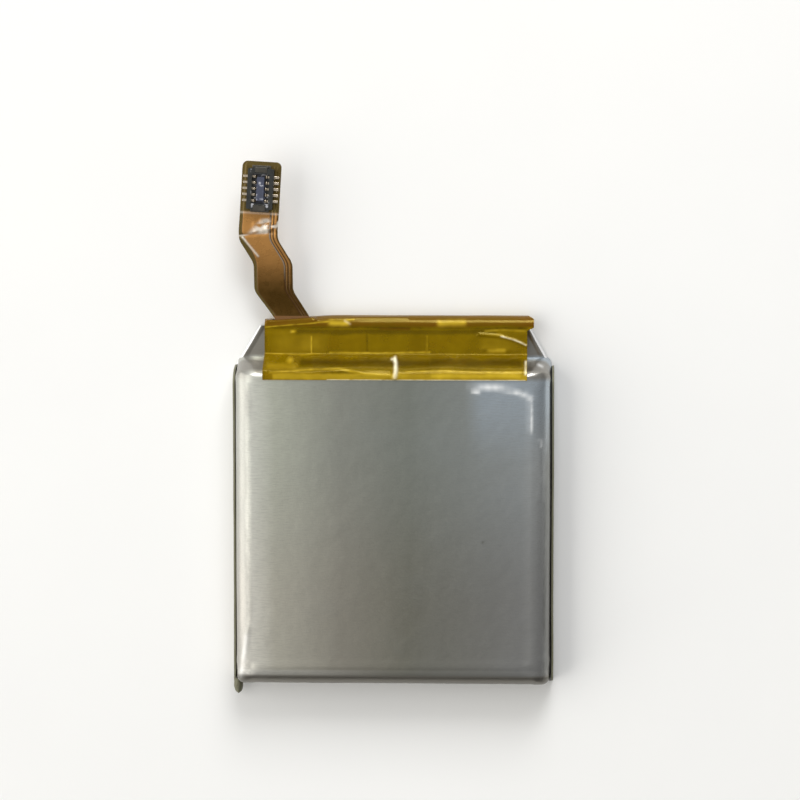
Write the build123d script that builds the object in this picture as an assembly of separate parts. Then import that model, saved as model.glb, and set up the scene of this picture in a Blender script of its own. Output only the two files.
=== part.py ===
from build123d import *
import os

# A small lithium-ion pouch cell for a wearable, with its protection board and its flexible tail.
#
# The laminate pouch is a drawn cup closed by a flat sheet. Its two side seals are folded up against
# the walls, and its terminal seal is a ledge at the +Y end. The tabs leave the ledge, turn back over
# the protection board that lies on it, and a polyimide tape wraps the whole ledge. A flexible printed
# circuit leaves the board at the left, jogs sideways twice and ends in a board-to-board receptacle.
#
# Millimetres. The origin is the middle of the flat back face. +Y runs to the terminal end, +X across
# the cell and +Z out of the drawn face.

# Driving dimensions -----------------------------------------------------------------------------

CELL_WIDTH = 24.0           # over both folded side seals
CELL_LENGTH = 24.2          # the drawn cup, along Y
CELL_THICKNESS = 3.8
LAMINATE = 0.11             # nylon, aluminium and polypropylene, bonded
CUP_EDGE = 1.2              # radius round the drawn face
CUP_CORNER = 1.5            # radius of the cup's corners in plan
FOLD_GAP = 0.02             # air between a wall and its folded seal
FOLD_HEIGHT = 2.6           # height of a folded side seal
FOLD_END = 10.4             # where the side fold stops, short of the ledge
EAR = 0.45                  # how far a fold's lower end stands past the cup

LEDGE_RAISE = 0.12          # the terminal seal stands this far above the back face
LEDGE_EDGE = 14.4           # outer edge of the terminal seal
RAMP = (10.7, 11.1)         # where the back sheet climbs to the ledge

TAB_WIDTH = 2.5
TAB_THICK = 0.08
TAB_X = {"positive": -3.5, "negative": 4.2}
SEALANT_FILM = 0.03         # polypropylene on each face of a tab
SEALANT_SIDE = 0.7          # and past each of its edges
WELD_END = 4.0              # where a tab starts, inside the roll
PATCH_THICK = 0.03          # insulating patch over a tab's weld
PAD_MARGIN = 0.2            # weld pad past each edge of its tab

ELECTRODE_GAP = 0.004       # clearance between wound layers
SEPARATOR = 0.018
ANODE = 0.125
CATHODE = 0.115
CORE_RADIUS = 0.12          # half the slot that the winding mandrel leaves
ROLL_CLEARANCE = 0.06
ROLL_ENDS = (-11.3, 10.6)   # the separators' two edges
ANODE_INSET = 0.25
CATHODE_INSET = 0.5

BOARD_X = (-9.4, 9.7)
BOARD_Y = (12.35, 14.7)
BOARD_CORNER = 0.25
BOARD_THICK = 0.35
BOARD_BOTTOM = 0.95
PART_HEIGHT = 0.42          # the tallest component under the board
LEAD_LENGTH = 0.16
LEAD_WIDTH = 0.2
LEAD_THICK = 0.1
INSULATOR_Y = (12.3, 14.3)
INSULATOR_THICK = 0.08
PAD_Y = (12.7, 13.9)
PAD_THICK = 0.15

FLEX_BASE = 0.05
FLEX_COPPER = 0.035
FLEX_COVER = 0.04
FLEX_THICK = FLEX_BASE + FLEX_COPPER + FLEX_COVER
FLEX_INNER_EDGE = 14.0      # the flexible layer is soldered along the board's outer edge only
FLEX_OUTER_EDGE = 14.8
TAIL_WIDTH = 2.92
ROOT_LEFT, ROOT_RIGHT = -8.95, -6.25
MID_LEFT = -10.5
TIP_LEFT = -11.57
JOG_LOW = (14.95, 17.1)     # Y span of the first sideways jog
JOG_HIGH = (19.2, 21.0)     # and of the second
BEND_LOW = 15.7             # the tail bends across this line, just outside the tape
BEND_HIGH = 21.5            # the head bends across this line
BEND_HALF = 0.5             # half the length of flex that a bend takes up
BEND_RADIUS = 3.0
TAIL_RISE = 1.45            # the head lies this far above the board
TRACKS = ((0.07, 0.76), (0.81, 0.86), (0.91, 0.965))    # shares of the tail's width that are copper
BUS_TRACKS = ((14.1, 14.38), (14.44, 14.5))             # and the spans of Y that are, along the board
NOTCH_START = 14.6          # the flexible layer is notched from here for the turn of each tab

HEAD_TURN = -3.5            # the head's small turn in plan, in degrees
HEAD_LENGTH = 5.35
HEAD_CORNER = 0.4
STIFFENER_START = 1.45      # from the bend line, along the head
STIFFENER_THICK = 0.2

SOCKET_MIDDLE = 3.31        # from the bend line, along the head
SOCKET_WIDTH = 1.95
SOCKET_LENGTH = 3.05
SOCKET_HEIGHT = 0.6
SOCKET_WALL = 0.33
SOCKET_END_WALL = 0.42
SOCKET_FLOOR = 0.14
ISLAND_WIDTH = 0.55
ISLAND_HEIGHT = 0.5
CONTACTS_A_SIDE = 5
CONTACT_PITCH = 0.45
CONTACT_WIDTH = 0.18
CONTACT_THICK = 0.07
CONTACT_REACH = 1.34        # from the middle line to the end of a foot
CONTACT_SPRING = 0.5        # height of the spring in the groove
SLOT_MARGIN = 0.02          # air round a contact or a bracket in the housing
BRACKET_WIDTH = 0.9
BRACKET_FOOT = 1.4
BRACKET_THICK = 0.08

TAPE_X = (-9.75, 10.05)
TAPE_THICK = 0.06
TAPE_START = 10.55          # its edge on the drawn face
TAPE_END = 12.3             # its edge under the ledge
TAPE_OUTER = 15.16          # its inner surface at the outermost point

# Worked-out heights and places --------------------------------------------------------------------

WALL_X = CELL_WIDTH / 2 - 2 * LAMINATE - FOLD_GAP
CUP_END = CELL_LENGTH / 2
SEAL_PLANE = LEDGE_RAISE + LAMINATE
SEALANT_THICK = TAB_THICK + 2 * SEALANT_FILM
TAB_SEAL_Z = SEAL_PLANE + SEALANT_THICK / 2
LEDGE_TOP = SEAL_PLANE + LAMINATE
BOARD_TOP = BOARD_BOTTOM + BOARD_THICK
PAD_TOP = BOARD_TOP + PAD_THICK
TAB_TOP_Z = PAD_TOP + TAB_THICK / 2
HEAD_BASE = BOARD_TOP + TAIL_RISE
HEAD_TOP = HEAD_BASE + FLEX_THICK
ROLL_MIDDLE = CELL_THICKNESS / 2
WIND_PITCH = 2 * SEPARATOR + ANODE + CATHODE + 4 * ELECTRODE_GAP
FAR = 40.0                  # larger than the cell, for cutting blocks
CLEAR = 0.01                # air between the tape and what it covers


# Helpers ------------------------------------------------------------------------------------------

def block(x, y, z):
    """A box between three (low, high) pairs."""
    spans = (x, y, z)
    size = [high - low for low, high in spans]
    middle = [(high + low) / 2 for low, high in spans]
    return Pos(*middle) * Box(*size)


def span_on(side, near, far):
    """A span measured out from the middle, on the negative or the positive side."""
    return tuple(sorted((side * near, side * far)))


def rectangle(x, y):
    """The corners of a rectangle between two (low, high) pairs."""
    return [(x[0], y[0]), (x[1], y[0]), (x[1], y[1]), (x[0], y[1])]


def prism(points, z, radius=0.0):
    """A plan outline carried from one height to another, its corners rounded by one radius or a list."""
    if radius:
        line = FilletPolyline(*points, radius=radius, close=True)
    else:
        line = Polyline(*points, close=True)
    return Pos(0, 0, z[0]) * extrude(make_face(line), z[1] - z[0])


def side_path(points, radius):
    """A rounded path in the YZ plane."""
    return FilletPolyline(*[(0, y, z) for y, z in points], radius=radius)


def sheet(path, x, low, high):
    """A sheet that follows a YZ path, between two distances to its left, over a span of X."""
    start = path @ 0
    frame = Plane(origin=((x[0] + x[1]) / 2, start.Y, start.Z), x_dir=(1, 0, 0), z_dir=path % 0)
    section = frame * Pos(0, -(low + high) / 2) * Rectangle(x[1] - x[0], high - low)
    return sweep(section, path=path)


def group(solids):
    """Several separate solids kept as one sub-part."""
    return Compound(children=[Solid(s.solid().wrapped) for s in solids])


# The pouch ----------------------------------------------------------------------------------------

def cup_block(inset):
    """The drawn cup as a solid block, taken in by inset on every wall and on its face."""
    plan = RectangleRounded(2 * (WALL_X - inset), 2 * (CUP_END - inset), CUP_CORNER - inset)
    body = Pos(0, 0, LAMINATE) * extrude(plan, CELL_THICKNESS - inset - LAMINATE)
    return fillet(body.faces().sort_by(Axis.Z)[-1].edges(), CUP_EDGE - inset)


def ledge_plan(z):
    """The terminal seal's outline, with its two trimmed corners, between two heights."""
    side = CELL_WIDTH / 2 - 0.05
    points = [
        (-side, FOLD_END + 0.2), (-side, 10.8), (-9.85, LEDGE_EDGE),
        (10.45, LEDGE_EDGE), (side, 11.6), (side, FOLD_END + 0.2),
    ]
    return prism(points, z)


def fold_layer(x):
    """One laminate layer of a folded side seal, standing on edge, with its rounded lower ear."""
    corners = [
        (0, -CUP_END - EAR, 0), (0, FOLD_END, 0),
        (0, FOLD_END, FOLD_HEIGHT), (0, -CUP_END - EAR, FOLD_HEIGHT),
    ]
    face = make_face(FilletPolyline(*corners, radius=[0.05, 0.05, 0.4, 0.6], close=True))
    return Pos(x[0], 0, 0) * extrude(face, x[1] - x[0], dir=(1, 0, 0))


def below_ledge():
    """The space that the back sheet takes up where it climbs to the ledge."""
    low, high = RAMP
    corners = [
        (0, low, -1), (0, low, LAMINATE), (0, high, SEAL_PLANE),
        (0, FAR, SEAL_PLANE), (0, FAR, -1),
    ]
    face = make_face(Polyline(*corners, close=True))
    return Pos(-FAR / 2, 0, 0) * extrude(face, FAR, dir=(1, 0, 0))


def tab_span(name, margin=0.0):
    """A tab's span of X, with a margin on both sides."""
    half = TAB_WIDTH / 2 + margin
    return TAB_X[name] - half, TAB_X[name] + half


def pouch_cup():
    """The drawn half of the laminate: cup, ledge flange and the inner layer of both side folds."""
    shell = cup_block(0.0)
    flange = ledge_plan((SEAL_PLANE, LEDGE_TOP))
    shell += flange - cup_block(LAMINATE / 2)
    for name in TAB_X:
        shell += block(
            tab_span(name, SEALANT_SIDE + LAMINATE), (CUP_END - 0.05, LEDGE_EDGE),
            (SEAL_PLANE, LEDGE_TOP + SEALANT_THICK),
        )
    fold = CELL_WIDTH / 2 - LAMINATE
    for side in (-1, 1):
        foot = span_on(side, WALL_X - LAMINATE / 2, fold)
        shell += block(foot, (-CUP_END + CUP_CORNER, FOLD_END), (LAMINATE, 2 * LAMINATE))
        upright = fold_layer(span_on(side, fold - LAMINATE, fold))
        shell += upright - block((-FAR, FAR), (-FAR, FAR), (-1, LAMINATE))
    inside = cup_block(LAMINATE) + block(
        (-WALL_X + CUP_CORNER, WALL_X - CUP_CORNER), (-10, 10), (0, 2 * LAMINATE)
    )
    shell -= inside
    for name in TAB_X:
        shell -= block(
            tab_span(name, SEALANT_SIDE), (CUP_END - 0.3, LEDGE_EDGE + 1),
            (SEAL_PLANE, SEAL_PLANE + SEALANT_THICK),
        )
    return shell - below_ledge()


def pouch_back():
    """The flat half of the laminate, with the outer layer of both side folds."""
    line = Polyline(
        (0, -CUP_END, 0), (0, RAMP[0], 0), (0, RAMP[1], LEDGE_RAISE), (0, LEDGE_EDGE, LEDGE_RAISE),
        (0, LEDGE_EDGE, SEAL_PLANE), (0, RAMP[1], SEAL_PLANE), (0, RAMP[0], LAMINATE),
        (0, -CUP_END, LAMINATE), close=True,
    )
    strip = Pos(-CELL_WIDTH / 2, 0, 0) * extrude(make_face(line), CELL_WIDTH, dir=(1, 0, 0))
    plate = block((-CELL_WIDTH / 2, CELL_WIDTH / 2), (-CUP_END, FOLD_END + 0.2), (-1, 1))
    back = strip & (plate + ledge_plan((-1, 1)))
    for side in (-1, 1):
        back += fold_layer(span_on(side, CELL_WIDTH / 2 - LAMINATE, CELL_WIDTH / 2))
    return back


# The wound electrodes -----------------------------------------------------------------------------

def half_turns():
    """How many half turns of the winding fit in the cup."""
    room = ROLL_MIDDLE - LAMINATE - ROLL_CLEARANCE - CORE_RADIUS - WIND_PITCH
    return int(room / (WIND_PITCH / 2))


def roll_side():
    """How far from the middle line the ends of the winding have their centres."""
    outermost = CORE_RADIUS + (half_turns() / 2 + 1.25) * WIND_PITCH
    return WALL_X - LAMINATE - ROLL_CLEARANCE - outermost


def winding_line(inner, y):
    """The edges of a flat spiral, from the core outwards, that starts at a distance inner from the core."""
    side = roll_side()
    quarter = WIND_PITCH / 4
    here = (-side, y, ROLL_MIDDLE + inner)
    edges = []
    for turn in range(half_turns()):
        way = 1 if turn % 2 == 0 else -1
        radius = inner + (2 * turn + 1) * quarter
        centre = ROLL_MIDDLE - way * quarter
        start = (way * side, y, centre + way * radius)
        edges.append(Line(here, start))
        here = (way * side, y, centre - way * radius)
        edges.append(ThreePointArc(start, (way * (side + radius), y, centre), here))
    edges.append(Line(here, (0, y, here[2])))
    return edges


def wound_layer(inner, thick, inset):
    """One wound sheet, as wide as the roll less an inset at both of its edges."""
    low, high = ROLL_ENDS[0] + inset, ROLL_ENDS[1] - inset
    near = winding_line(inner, low)
    far = winding_line(inner + thick, low)
    ends = [Line(near[0] @ 0, far[0] @ 0), Line(near[-1] @ 1, far[-1] @ 1)]
    return extrude(make_face(near + far + ends), high - low, dir=(0, 1, 0))


def wound_layers():
    """The four sheets of the roll, from the inside of a turn to its outside."""
    order = [
        ("separator_inner", SEPARATOR, 0.0),
        ("anode_sheet", ANODE, ANODE_INSET),
        ("separator_outer", SEPARATOR, 0.0),
        ("cathode_sheet", CATHODE, CATHODE_INSET),
    ]
    layers = {}
    inner = CORE_RADIUS
    for name, thick, inset in order:
        layers[name] = wound_layer(inner, thick, inset)
        inner += thick + ELECTRODE_GAP
    return layers


def winding_end_tape():
    """The strip that holds the roll's outer end down, under the roll."""
    lowest = ROLL_MIDDLE - CORE_RADIUS - (half_turns() / 2 + 1) * WIND_PITCH
    length = (ROLL_ENDS[0] + 1.5, ROLL_ENDS[1] - 1.5)
    return block((-3.5, 3.5), length, (lowest - 0.035, lowest - 0.005))


# The tabs -----------------------------------------------------------------------------------------

def tab_path():
    """The middle line of a tab: roll core, head space, seal, turn round the board, weld pad."""
    core = ROLL_MIDDLE - WIND_PITCH / 4
    turn = TAPE_OUTER - 0.08
    points = [
        (WELD_END, core), (11.15, core), (11.45, TAB_SEAL_Z), (turn, TAB_SEAL_Z),
        (turn, TAB_TOP_Z), (PAD_Y[0] + 0.15, TAB_TOP_Z),
    ]
    round_board = (TAB_TOP_Z - TAB_SEAL_Z) / 2 - 0.005
    return side_path(points, [0.3, 0.25, round_board, round_board])


def tab(name):
    """One metal tab."""
    return sheet(tab_path(), tab_span(name), -TAB_THICK / 2, TAB_THICK / 2)


def tab_sealant(name):
    """The polypropylene sleeve that the laminate is sealed to, round one tab."""
    sleeve = block(
        tab_span(name, SEALANT_SIDE), (CUP_END, LEDGE_EDGE),
        (SEAL_PLANE, SEAL_PLANE + SEALANT_THICK),
    )
    return sleeve - tab(name)


def tab_weld_tapes():
    """The insulating patch over each tab's weld, in the core of the roll."""
    top = ROLL_MIDDLE - WIND_PITCH / 4 + TAB_THICK / 2
    length = (WELD_END - 0.6, ROLL_ENDS[1] - 0.8)
    patches = [block(tab_span(name, 0.3), length, (top, top + PATCH_THICK)) for name in TAB_X]
    return group(patches)


# The protection board -----------------------------------------------------------------------------

def board_insulator():
    """The paper strip between the ledge and the components, open over the two tab seals."""
    lowest = LEDGE_TOP + CLEAR
    strip = block(BOARD_X, INSULATOR_Y, (lowest, lowest + INSULATOR_THICK))
    for name in TAB_X:
        strip -= block(tab_span(name, SEALANT_SIDE + 2 * LAMINATE), (0, FAR), (0, 1))
    return group(strip.solids())


def protection_board():
    """The rigid board, with rounded corners."""
    return prism(rectangle(BOARD_X, BOARD_Y), (BOARD_BOTTOM, BOARD_TOP), radius=BOARD_CORNER)


def under_board(x, y, size, high):
    """A component soldered under the board, centred on a point."""
    half_x, half_y = size[0] / 2, size[1] / 2
    return block((x - half_x, x + half_x), (y - half_y, y + half_y), (BOARD_BOTTOM - high, BOARD_BOTTOM))


def package(x, y, size, leads, pitch):
    """A moulded package with a chamfered underside edge and its row of leads on both long sides."""
    body = under_board(x, y, size, PART_HEIGHT)
    body = chamfer(body.faces().sort_by(Axis.Z)[0].edges(), 0.06)
    pins = []
    for side in (-1, 1):
        for place in range(leads):
            at = x + (place - (leads - 1) / 2) * pitch
            edge = y + side * (size[1] + LEAD_LENGTH) / 2
            pins.append(under_board(at, edge, (LEAD_WIDTH, LEAD_LENGTH), LEAD_THICK))
    return group([body, *pins])


def chips(places, size, high):
    """A group of chip components, each a body with its two end caps."""
    parts = []
    cap = 0.2 * size[0]
    for x, y in places:
        parts.append(under_board(x, y, (size[0] - 2 * cap, size[1]), high - 0.02))
        for side in (-1, 1):
            parts.append(under_board(x + side * (size[0] - cap) / 2, y, (cap, size[1]), high))
    return group(parts)


def weld_pads():
    """The two nickel pads that the tabs are welded to."""
    return group([block(tab_span(name, PAD_MARGIN), PAD_Y, (BOARD_TOP, PAD_TOP)) for name in TAB_X])


# The flexible circuit -----------------------------------------------------------------------------

def head_place(across, along):
    """A plan point given along the head from its bend line, and across it."""
    middle = (TIP_LEFT + TAIL_WIDTH / 2, BEND_HIGH, 0)
    return (Pos(*middle) * Rot(0, 0, HEAD_TURN) * Pos(across, along, 0)).position


def flex_edge(share, end):
    """Plan points from the board to the tip, at a share of the width from the left edge."""
    across = share * TAIL_WIDTH
    root = ROOT_LEFT + share * (ROOT_RIGHT - ROOT_LEFT)
    tip = head_place(across - TAIL_WIDTH / 2, end)
    return [
        (root, FLEX_INNER_EDGE + 0.15), (root, JOG_LOW[0]),
        (MID_LEFT + across, JOG_LOW[1]), (MID_LEFT + across, JOG_HIGH[0]),
        (TIP_LEFT + across, JOG_HIGH[1]), (tip.X, tip.Y),
    ]


def flex_plan(left, right, end, corner):
    """The plan of a strip of the tail, between two shares of its width, tall enough to cut with."""
    points = flex_edge(left, end) + flex_edge(right, end)[::-1]
    radii = [0.02, 0.5, 1.2, 1.2, 1.5, corner]
    return prism(points, (0, 5), radius=radii + radii[::-1])


def flex_board_plan():
    """The plan of the strip along the board's edge, notched where the tabs turn round it."""
    plan = prism(rectangle(BOARD_X, (FLEX_INNER_EDGE, FLEX_OUTER_EDGE)), (0, 5), radius=BOARD_CORNER)
    for name in TAB_X:
        plan -= block(tab_span(name, 0.15), (NOTCH_START, FAR), (0, 5))
    return plan


def flex_layer(low, high):
    """A layer of the flexible circuit, between two heights above its underside, before it is cut out."""
    flat, top = BOARD_TOP, HEAD_BASE
    path = side_path(
        [(FLEX_INNER_EDGE - 0.1, flat), (BEND_LOW, flat), (BEND_HIGH, top), (28, top)],
        [BEND_RADIUS, BEND_RADIUS],
    )
    return sheet(path, (-12.5, 10.5), low, high)


ZONES = {
    "root": (0, BEND_LOW - BEND_HALF),
    "bend_lower": (BEND_LOW - BEND_HALF, BEND_LOW + BEND_HALF),
    "tail": (BEND_LOW + BEND_HALF, BEND_HIGH - BEND_HALF),
    "bend_upper": (BEND_HIGH - BEND_HALF, BEND_HIGH + BEND_HALF),
    "head": (BEND_HIGH + BEND_HALF, FAR),
}


def zone(name):
    """The slab of space that holds one stretch of the flexible circuit."""
    return block((-FAR, FAR), ZONES[name], (-1, 6))


def flex_base():
    """The polyimide base film, in one piece."""
    plan = flex_plan(0, 1, HEAD_LENGTH, HEAD_CORNER) + flex_board_plan()
    return flex_layer(0, FLEX_BASE) & plan


def flex_cover():
    """The cover film."""
    plan = flex_plan(0, 1, HEAD_LENGTH, HEAD_CORNER) + flex_board_plan()
    return flex_layer(FLEX_BASE + FLEX_COPPER, FLEX_THICK) & plan


def flex_traces():
    """The copper: one broad supply track and two narrow sense tracks down the tail, and their buses."""
    layer = flex_layer(FLEX_BASE, FLEX_BASE + FLEX_COPPER)
    tracks = [flex_plan(left, right, HEAD_LENGTH - 0.3, 0.04) for left, right in TRACKS]
    supply, *senses = tracks
    supply_bus, sense_bus = [
        block((ROOT_LEFT + 0.3, BOARD_X[1] - 0.3), length, (0, 5)) for length in BUS_TRACKS
    ]
    sense_bus -= block((-FAR, ROOT_RIGHT - 0.45), (0, FAR), (0, 5))
    past_supply = block((-FAR, FAR), (BUS_TRACKS[1][0], FAR), (0, 5))
    sense = (senses[0] + senses[1] + sense_bus) & past_supply
    return [layer & (supply + supply_bus), layer & sense]


def cut_to(shapes, name):
    """The solids of some shapes that lie in one stretch of the flexible circuit."""
    return [solid for shape in shapes for solid in (shape & zone(name)).solids()]


def flex_parts():
    """The flexible circuit's nodes: its three layers on each rigid stretch, and each bend whole."""
    layers = {"flex_base": [flex_base()], "flex_traces": flex_traces(), "flex_cover": [flex_cover()]}
    nodes = {}
    for stretch in ("root", "tail", "head"):
        for name, shapes in layers.items():
            nodes[f"{name}_{stretch}"] = group(cut_to(shapes, stretch))
    everything = [shape for shapes in layers.values() for shape in shapes]
    for bend in ("bend_lower", "bend_upper"):
        nodes[f"flex_{bend}"] = group(cut_to(everything, bend))
    return nodes


# The connector, in its own frame: middle line along Y, the flex's top surface at height 0 --------------

def on_head(shape, height):
    """Carries a shape from the connector's own frame to its place on the head."""
    place = head_place(0, SOCKET_MIDDLE)
    return Pos(place.X, place.Y, height) * Rot(0, 0, HEAD_TURN) * shape


def contact_places():
    """Where along the connector its contacts stand."""
    first = -(CONTACTS_A_SIDE - 1) / 2
    return [(first + place) * CONTACT_PITCH for place in range(CONTACTS_A_SIDE)]


def stiffener():
    """The plate behind the connector."""
    half = TAIL_WIDTH / 2
    length = (STIFFENER_START - SOCKET_MIDDLE, HEAD_LENGTH - SOCKET_MIDDLE)
    radii = [0.1, 0.1, HEAD_CORNER, HEAD_CORNER]
    plate = prism(rectangle((-half, half), length), (-STIFFENER_THICK, 0), radius=radii)
    return on_head(plate, HEAD_BASE)


def connector_housing():
    """The moulded receptacle: floor, ring of walls, island, and a slot for each contact and bracket."""
    half_width, half_length = SOCKET_WIDTH / 2, SOCKET_LENGTH / 2
    outline = rectangle((-half_width, half_width), (-half_length, half_length))
    body = prism(outline, (0, SOCKET_HEIGHT), radius=0.12)
    inner_x, inner_y = half_width - SOCKET_WALL, half_length - SOCKET_END_WALL
    body -= block((-inner_x, inner_x), (-inner_y, inner_y), (SOCKET_FLOOR, 1))
    island_x, island_y = ISLAND_WIDTH / 2, inner_y - 0.22
    body += block((-island_x, island_x), (-island_y, island_y), (0, ISLAND_HEIGHT))
    for along in contact_places():
        slot = CONTACT_WIDTH / 2 + SLOT_MARGIN
        length = (along - slot, along + slot)
        for side in (-1, 1):
            under_wall = span_on(side, island_x + SLOT_MARGIN, CONTACT_REACH)
            body -= block(under_wall, length, (-0.1, CONTACT_THICK + 2 * SLOT_MARGIN))
            well = span_on(side, island_x + SLOT_MARGIN, inner_x)
            body -= block(well, length, (-0.1, SOCKET_FLOOR + 0.1))
    for end in (-1, 1):
        body -= bracket(end, SLOT_MARGIN)
    return on_head(body, HEAD_TOP)


def bracket(end, grow):
    """A hold-down bracket over one end wall, grown all round by a clearance."""
    wall = SOCKET_LENGTH / 2
    outer = wall + CLEAR + BRACKET_THICK
    half = BRACKET_WIDTH / 2 + grow
    top = SOCKET_HEIGHT + 0.03
    cap = block((-half, half), span_on(end, wall - 0.3 - grow, outer), (top - BRACKET_THICK - grow, top))
    leg = block((-half, half), span_on(end, wall + CLEAR - grow, outer), (0, top))
    foot_x = (-BRACKET_FOOT / 2, BRACKET_FOOT / 2)
    foot = block(foot_x, span_on(end, wall + CLEAR, wall + 0.22), (0, BRACKET_THICK))
    return cap + leg + foot


def hold_downs():
    """The metal brackets that take the pull on the connector, one at each end."""
    return group([on_head(bracket(end, 0.0), HEAD_TOP) for end in (-1, 1)])


def contact_row(side):
    """One side's contacts: a foot outside the wall, a run under it and a spring up in the groove."""
    rise = ISLAND_WIDTH / 2 + 0.16
    middle = CONTACT_THICK / 2
    corners = [(CONTACT_REACH, 0, middle), (rise, 0, middle), (rise, 0, CONTACT_SPRING)]
    line = FilletPolyline(*corners, radius=0.08)
    frame = Plane(origin=line @ 0, x_dir=(0, 1, 0), z_dir=line % 0)
    spring = sweep(frame * Rectangle(CONTACT_WIDTH, CONTACT_THICK), path=line)
    if side < 0:
        spring = Rot(0, 0, 180) * spring
    return group([on_head(Pos(0, along, 0) * spring, HEAD_TOP) for along in contact_places()])


# The tape -----------------------------------------------------------------------------------------

def polyimide_tape():
    """One turn of tape: drawn face, wall, board, round the outer edge and back under the ledge."""
    top = CELL_THICKNESS + CLEAR
    over_tabs = PAD_TOP + TAB_THICK + 3 * CLEAR
    under = LEDGE_RAISE - CLEAR
    wall = CUP_END + 1.5 * CLEAR
    points = [
        (TAPE_START, top), (wall, top), (wall, over_tabs),
        (TAPE_OUTER, over_tabs), (TAPE_OUTER, under), (TAPE_END, under),
    ]
    turn = (over_tabs - under) / 2 - 0.005
    path = side_path(points, [CUP_EDGE + CLEAR, 0.5, turn, turn])
    tape = sheet(path, TAPE_X, 0, TAPE_THICK)
    slit_z = (BOARD_TOP - 0.08, BOARD_TOP + FLEX_THICK + 0.095)
    slit = block((ROOT_LEFT - 0.2, ROOT_RIGHT + 0.12), (BOARD_Y[1] - 0.1, FAR), slit_z)
    return tape - slit


# Every sub-part, by its node's name -------------------------------------------------------------------

PACKAGE_Y = 13.5
PARTS = {
    "pouch_cup": pouch_cup(),
    "pouch_back": pouch_back(),
    **wound_layers(),
    "winding_end_tape": winding_end_tape(),
    "positive_tab": tab("positive"),
    "negative_tab": tab("negative"),
    "positive_tab_sealant": tab_sealant("positive"),
    "negative_tab_sealant": tab_sealant("negative"),
    "tab_weld_tapes": tab_weld_tapes(),
    "board_insulator": board_insulator(),
    "protection_board": protection_board(),
    "protection_ic": package(-1.9, PACKAGE_Y, (1.5, 1.3), 3, 0.5),
    "switch_transistor": package(6.6, PACKAGE_Y, (2.6, 1.4), 4, 0.6),
    "thermistor": chips([(-8.4, PACKAGE_Y)], (1.0, 0.5), 0.4),
    "chip_resistors": chips([(0.2, 12.9), (4.4, 14.2)], (0.6, 0.3), 0.26),
    "chip_capacitors": chips([(0.2, 14.1), (8.8, PACKAGE_Y)], (0.6, 0.35), 0.36),
    "weld_pads": weld_pads(),
    **flex_parts(),
    "stiffener": stiffener(),
    "connector_housing": connector_housing(),
    "contacts_left": contact_row(-1),
    "contacts_right": contact_row(1),
    "hold_downs": hold_downs(),
    "polyimide_tape": polyimide_tape(),
}

os.makedirs("parts", exist_ok=True)
for node, shape in PARTS.items():
    export_step(shape, f"parts/{node}.step")
    print(node, len(shape.solids()), round(shape.volume, 4))
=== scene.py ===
"""A small taped pouch cell with its protection board and flexible tail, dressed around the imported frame.

Lengths inside the builders are millimetres, in the frame of the part: the origin is the middle of the flat
back face, +Y runs to the terminal end and +Z out of the drawn face. They become metres when a mesh is made.
"""

from __future__ import annotations

import logging
import math
from dataclasses import dataclass, field
from enum import Enum
from functools import lru_cache
from typing import Any, Sequence, Union

import bmesh
import bpy
import numpy as np
from mathutils import Matrix, Vector, noise


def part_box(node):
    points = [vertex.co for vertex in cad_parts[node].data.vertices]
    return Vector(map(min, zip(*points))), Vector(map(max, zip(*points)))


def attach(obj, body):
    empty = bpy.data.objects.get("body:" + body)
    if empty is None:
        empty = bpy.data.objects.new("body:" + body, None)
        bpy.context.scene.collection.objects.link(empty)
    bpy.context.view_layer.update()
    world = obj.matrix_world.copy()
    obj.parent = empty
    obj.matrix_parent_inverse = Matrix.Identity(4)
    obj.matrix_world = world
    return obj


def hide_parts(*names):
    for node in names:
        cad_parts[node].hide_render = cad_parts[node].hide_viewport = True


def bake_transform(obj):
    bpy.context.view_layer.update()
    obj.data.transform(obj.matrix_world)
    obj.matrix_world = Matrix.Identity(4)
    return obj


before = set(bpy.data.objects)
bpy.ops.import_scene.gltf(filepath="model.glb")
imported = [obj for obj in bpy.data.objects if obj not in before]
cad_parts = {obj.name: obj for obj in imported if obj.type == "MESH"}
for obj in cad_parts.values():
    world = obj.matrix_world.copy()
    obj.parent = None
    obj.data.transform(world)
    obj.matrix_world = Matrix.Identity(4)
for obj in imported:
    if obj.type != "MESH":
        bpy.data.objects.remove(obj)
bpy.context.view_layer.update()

MM = 0.001
log = logging.getLogger("pouch_cell")

Colour = tuple[float, float, float, float]
Operand = Union["Value", float]


def rgb(red: float, green: float, blue: float) -> Colour:
    """Return a linear colour with full alpha."""
    return (red, green, blue, 1.0)


# Shader maths ---------------------------------------------------------------------------------------


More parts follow.
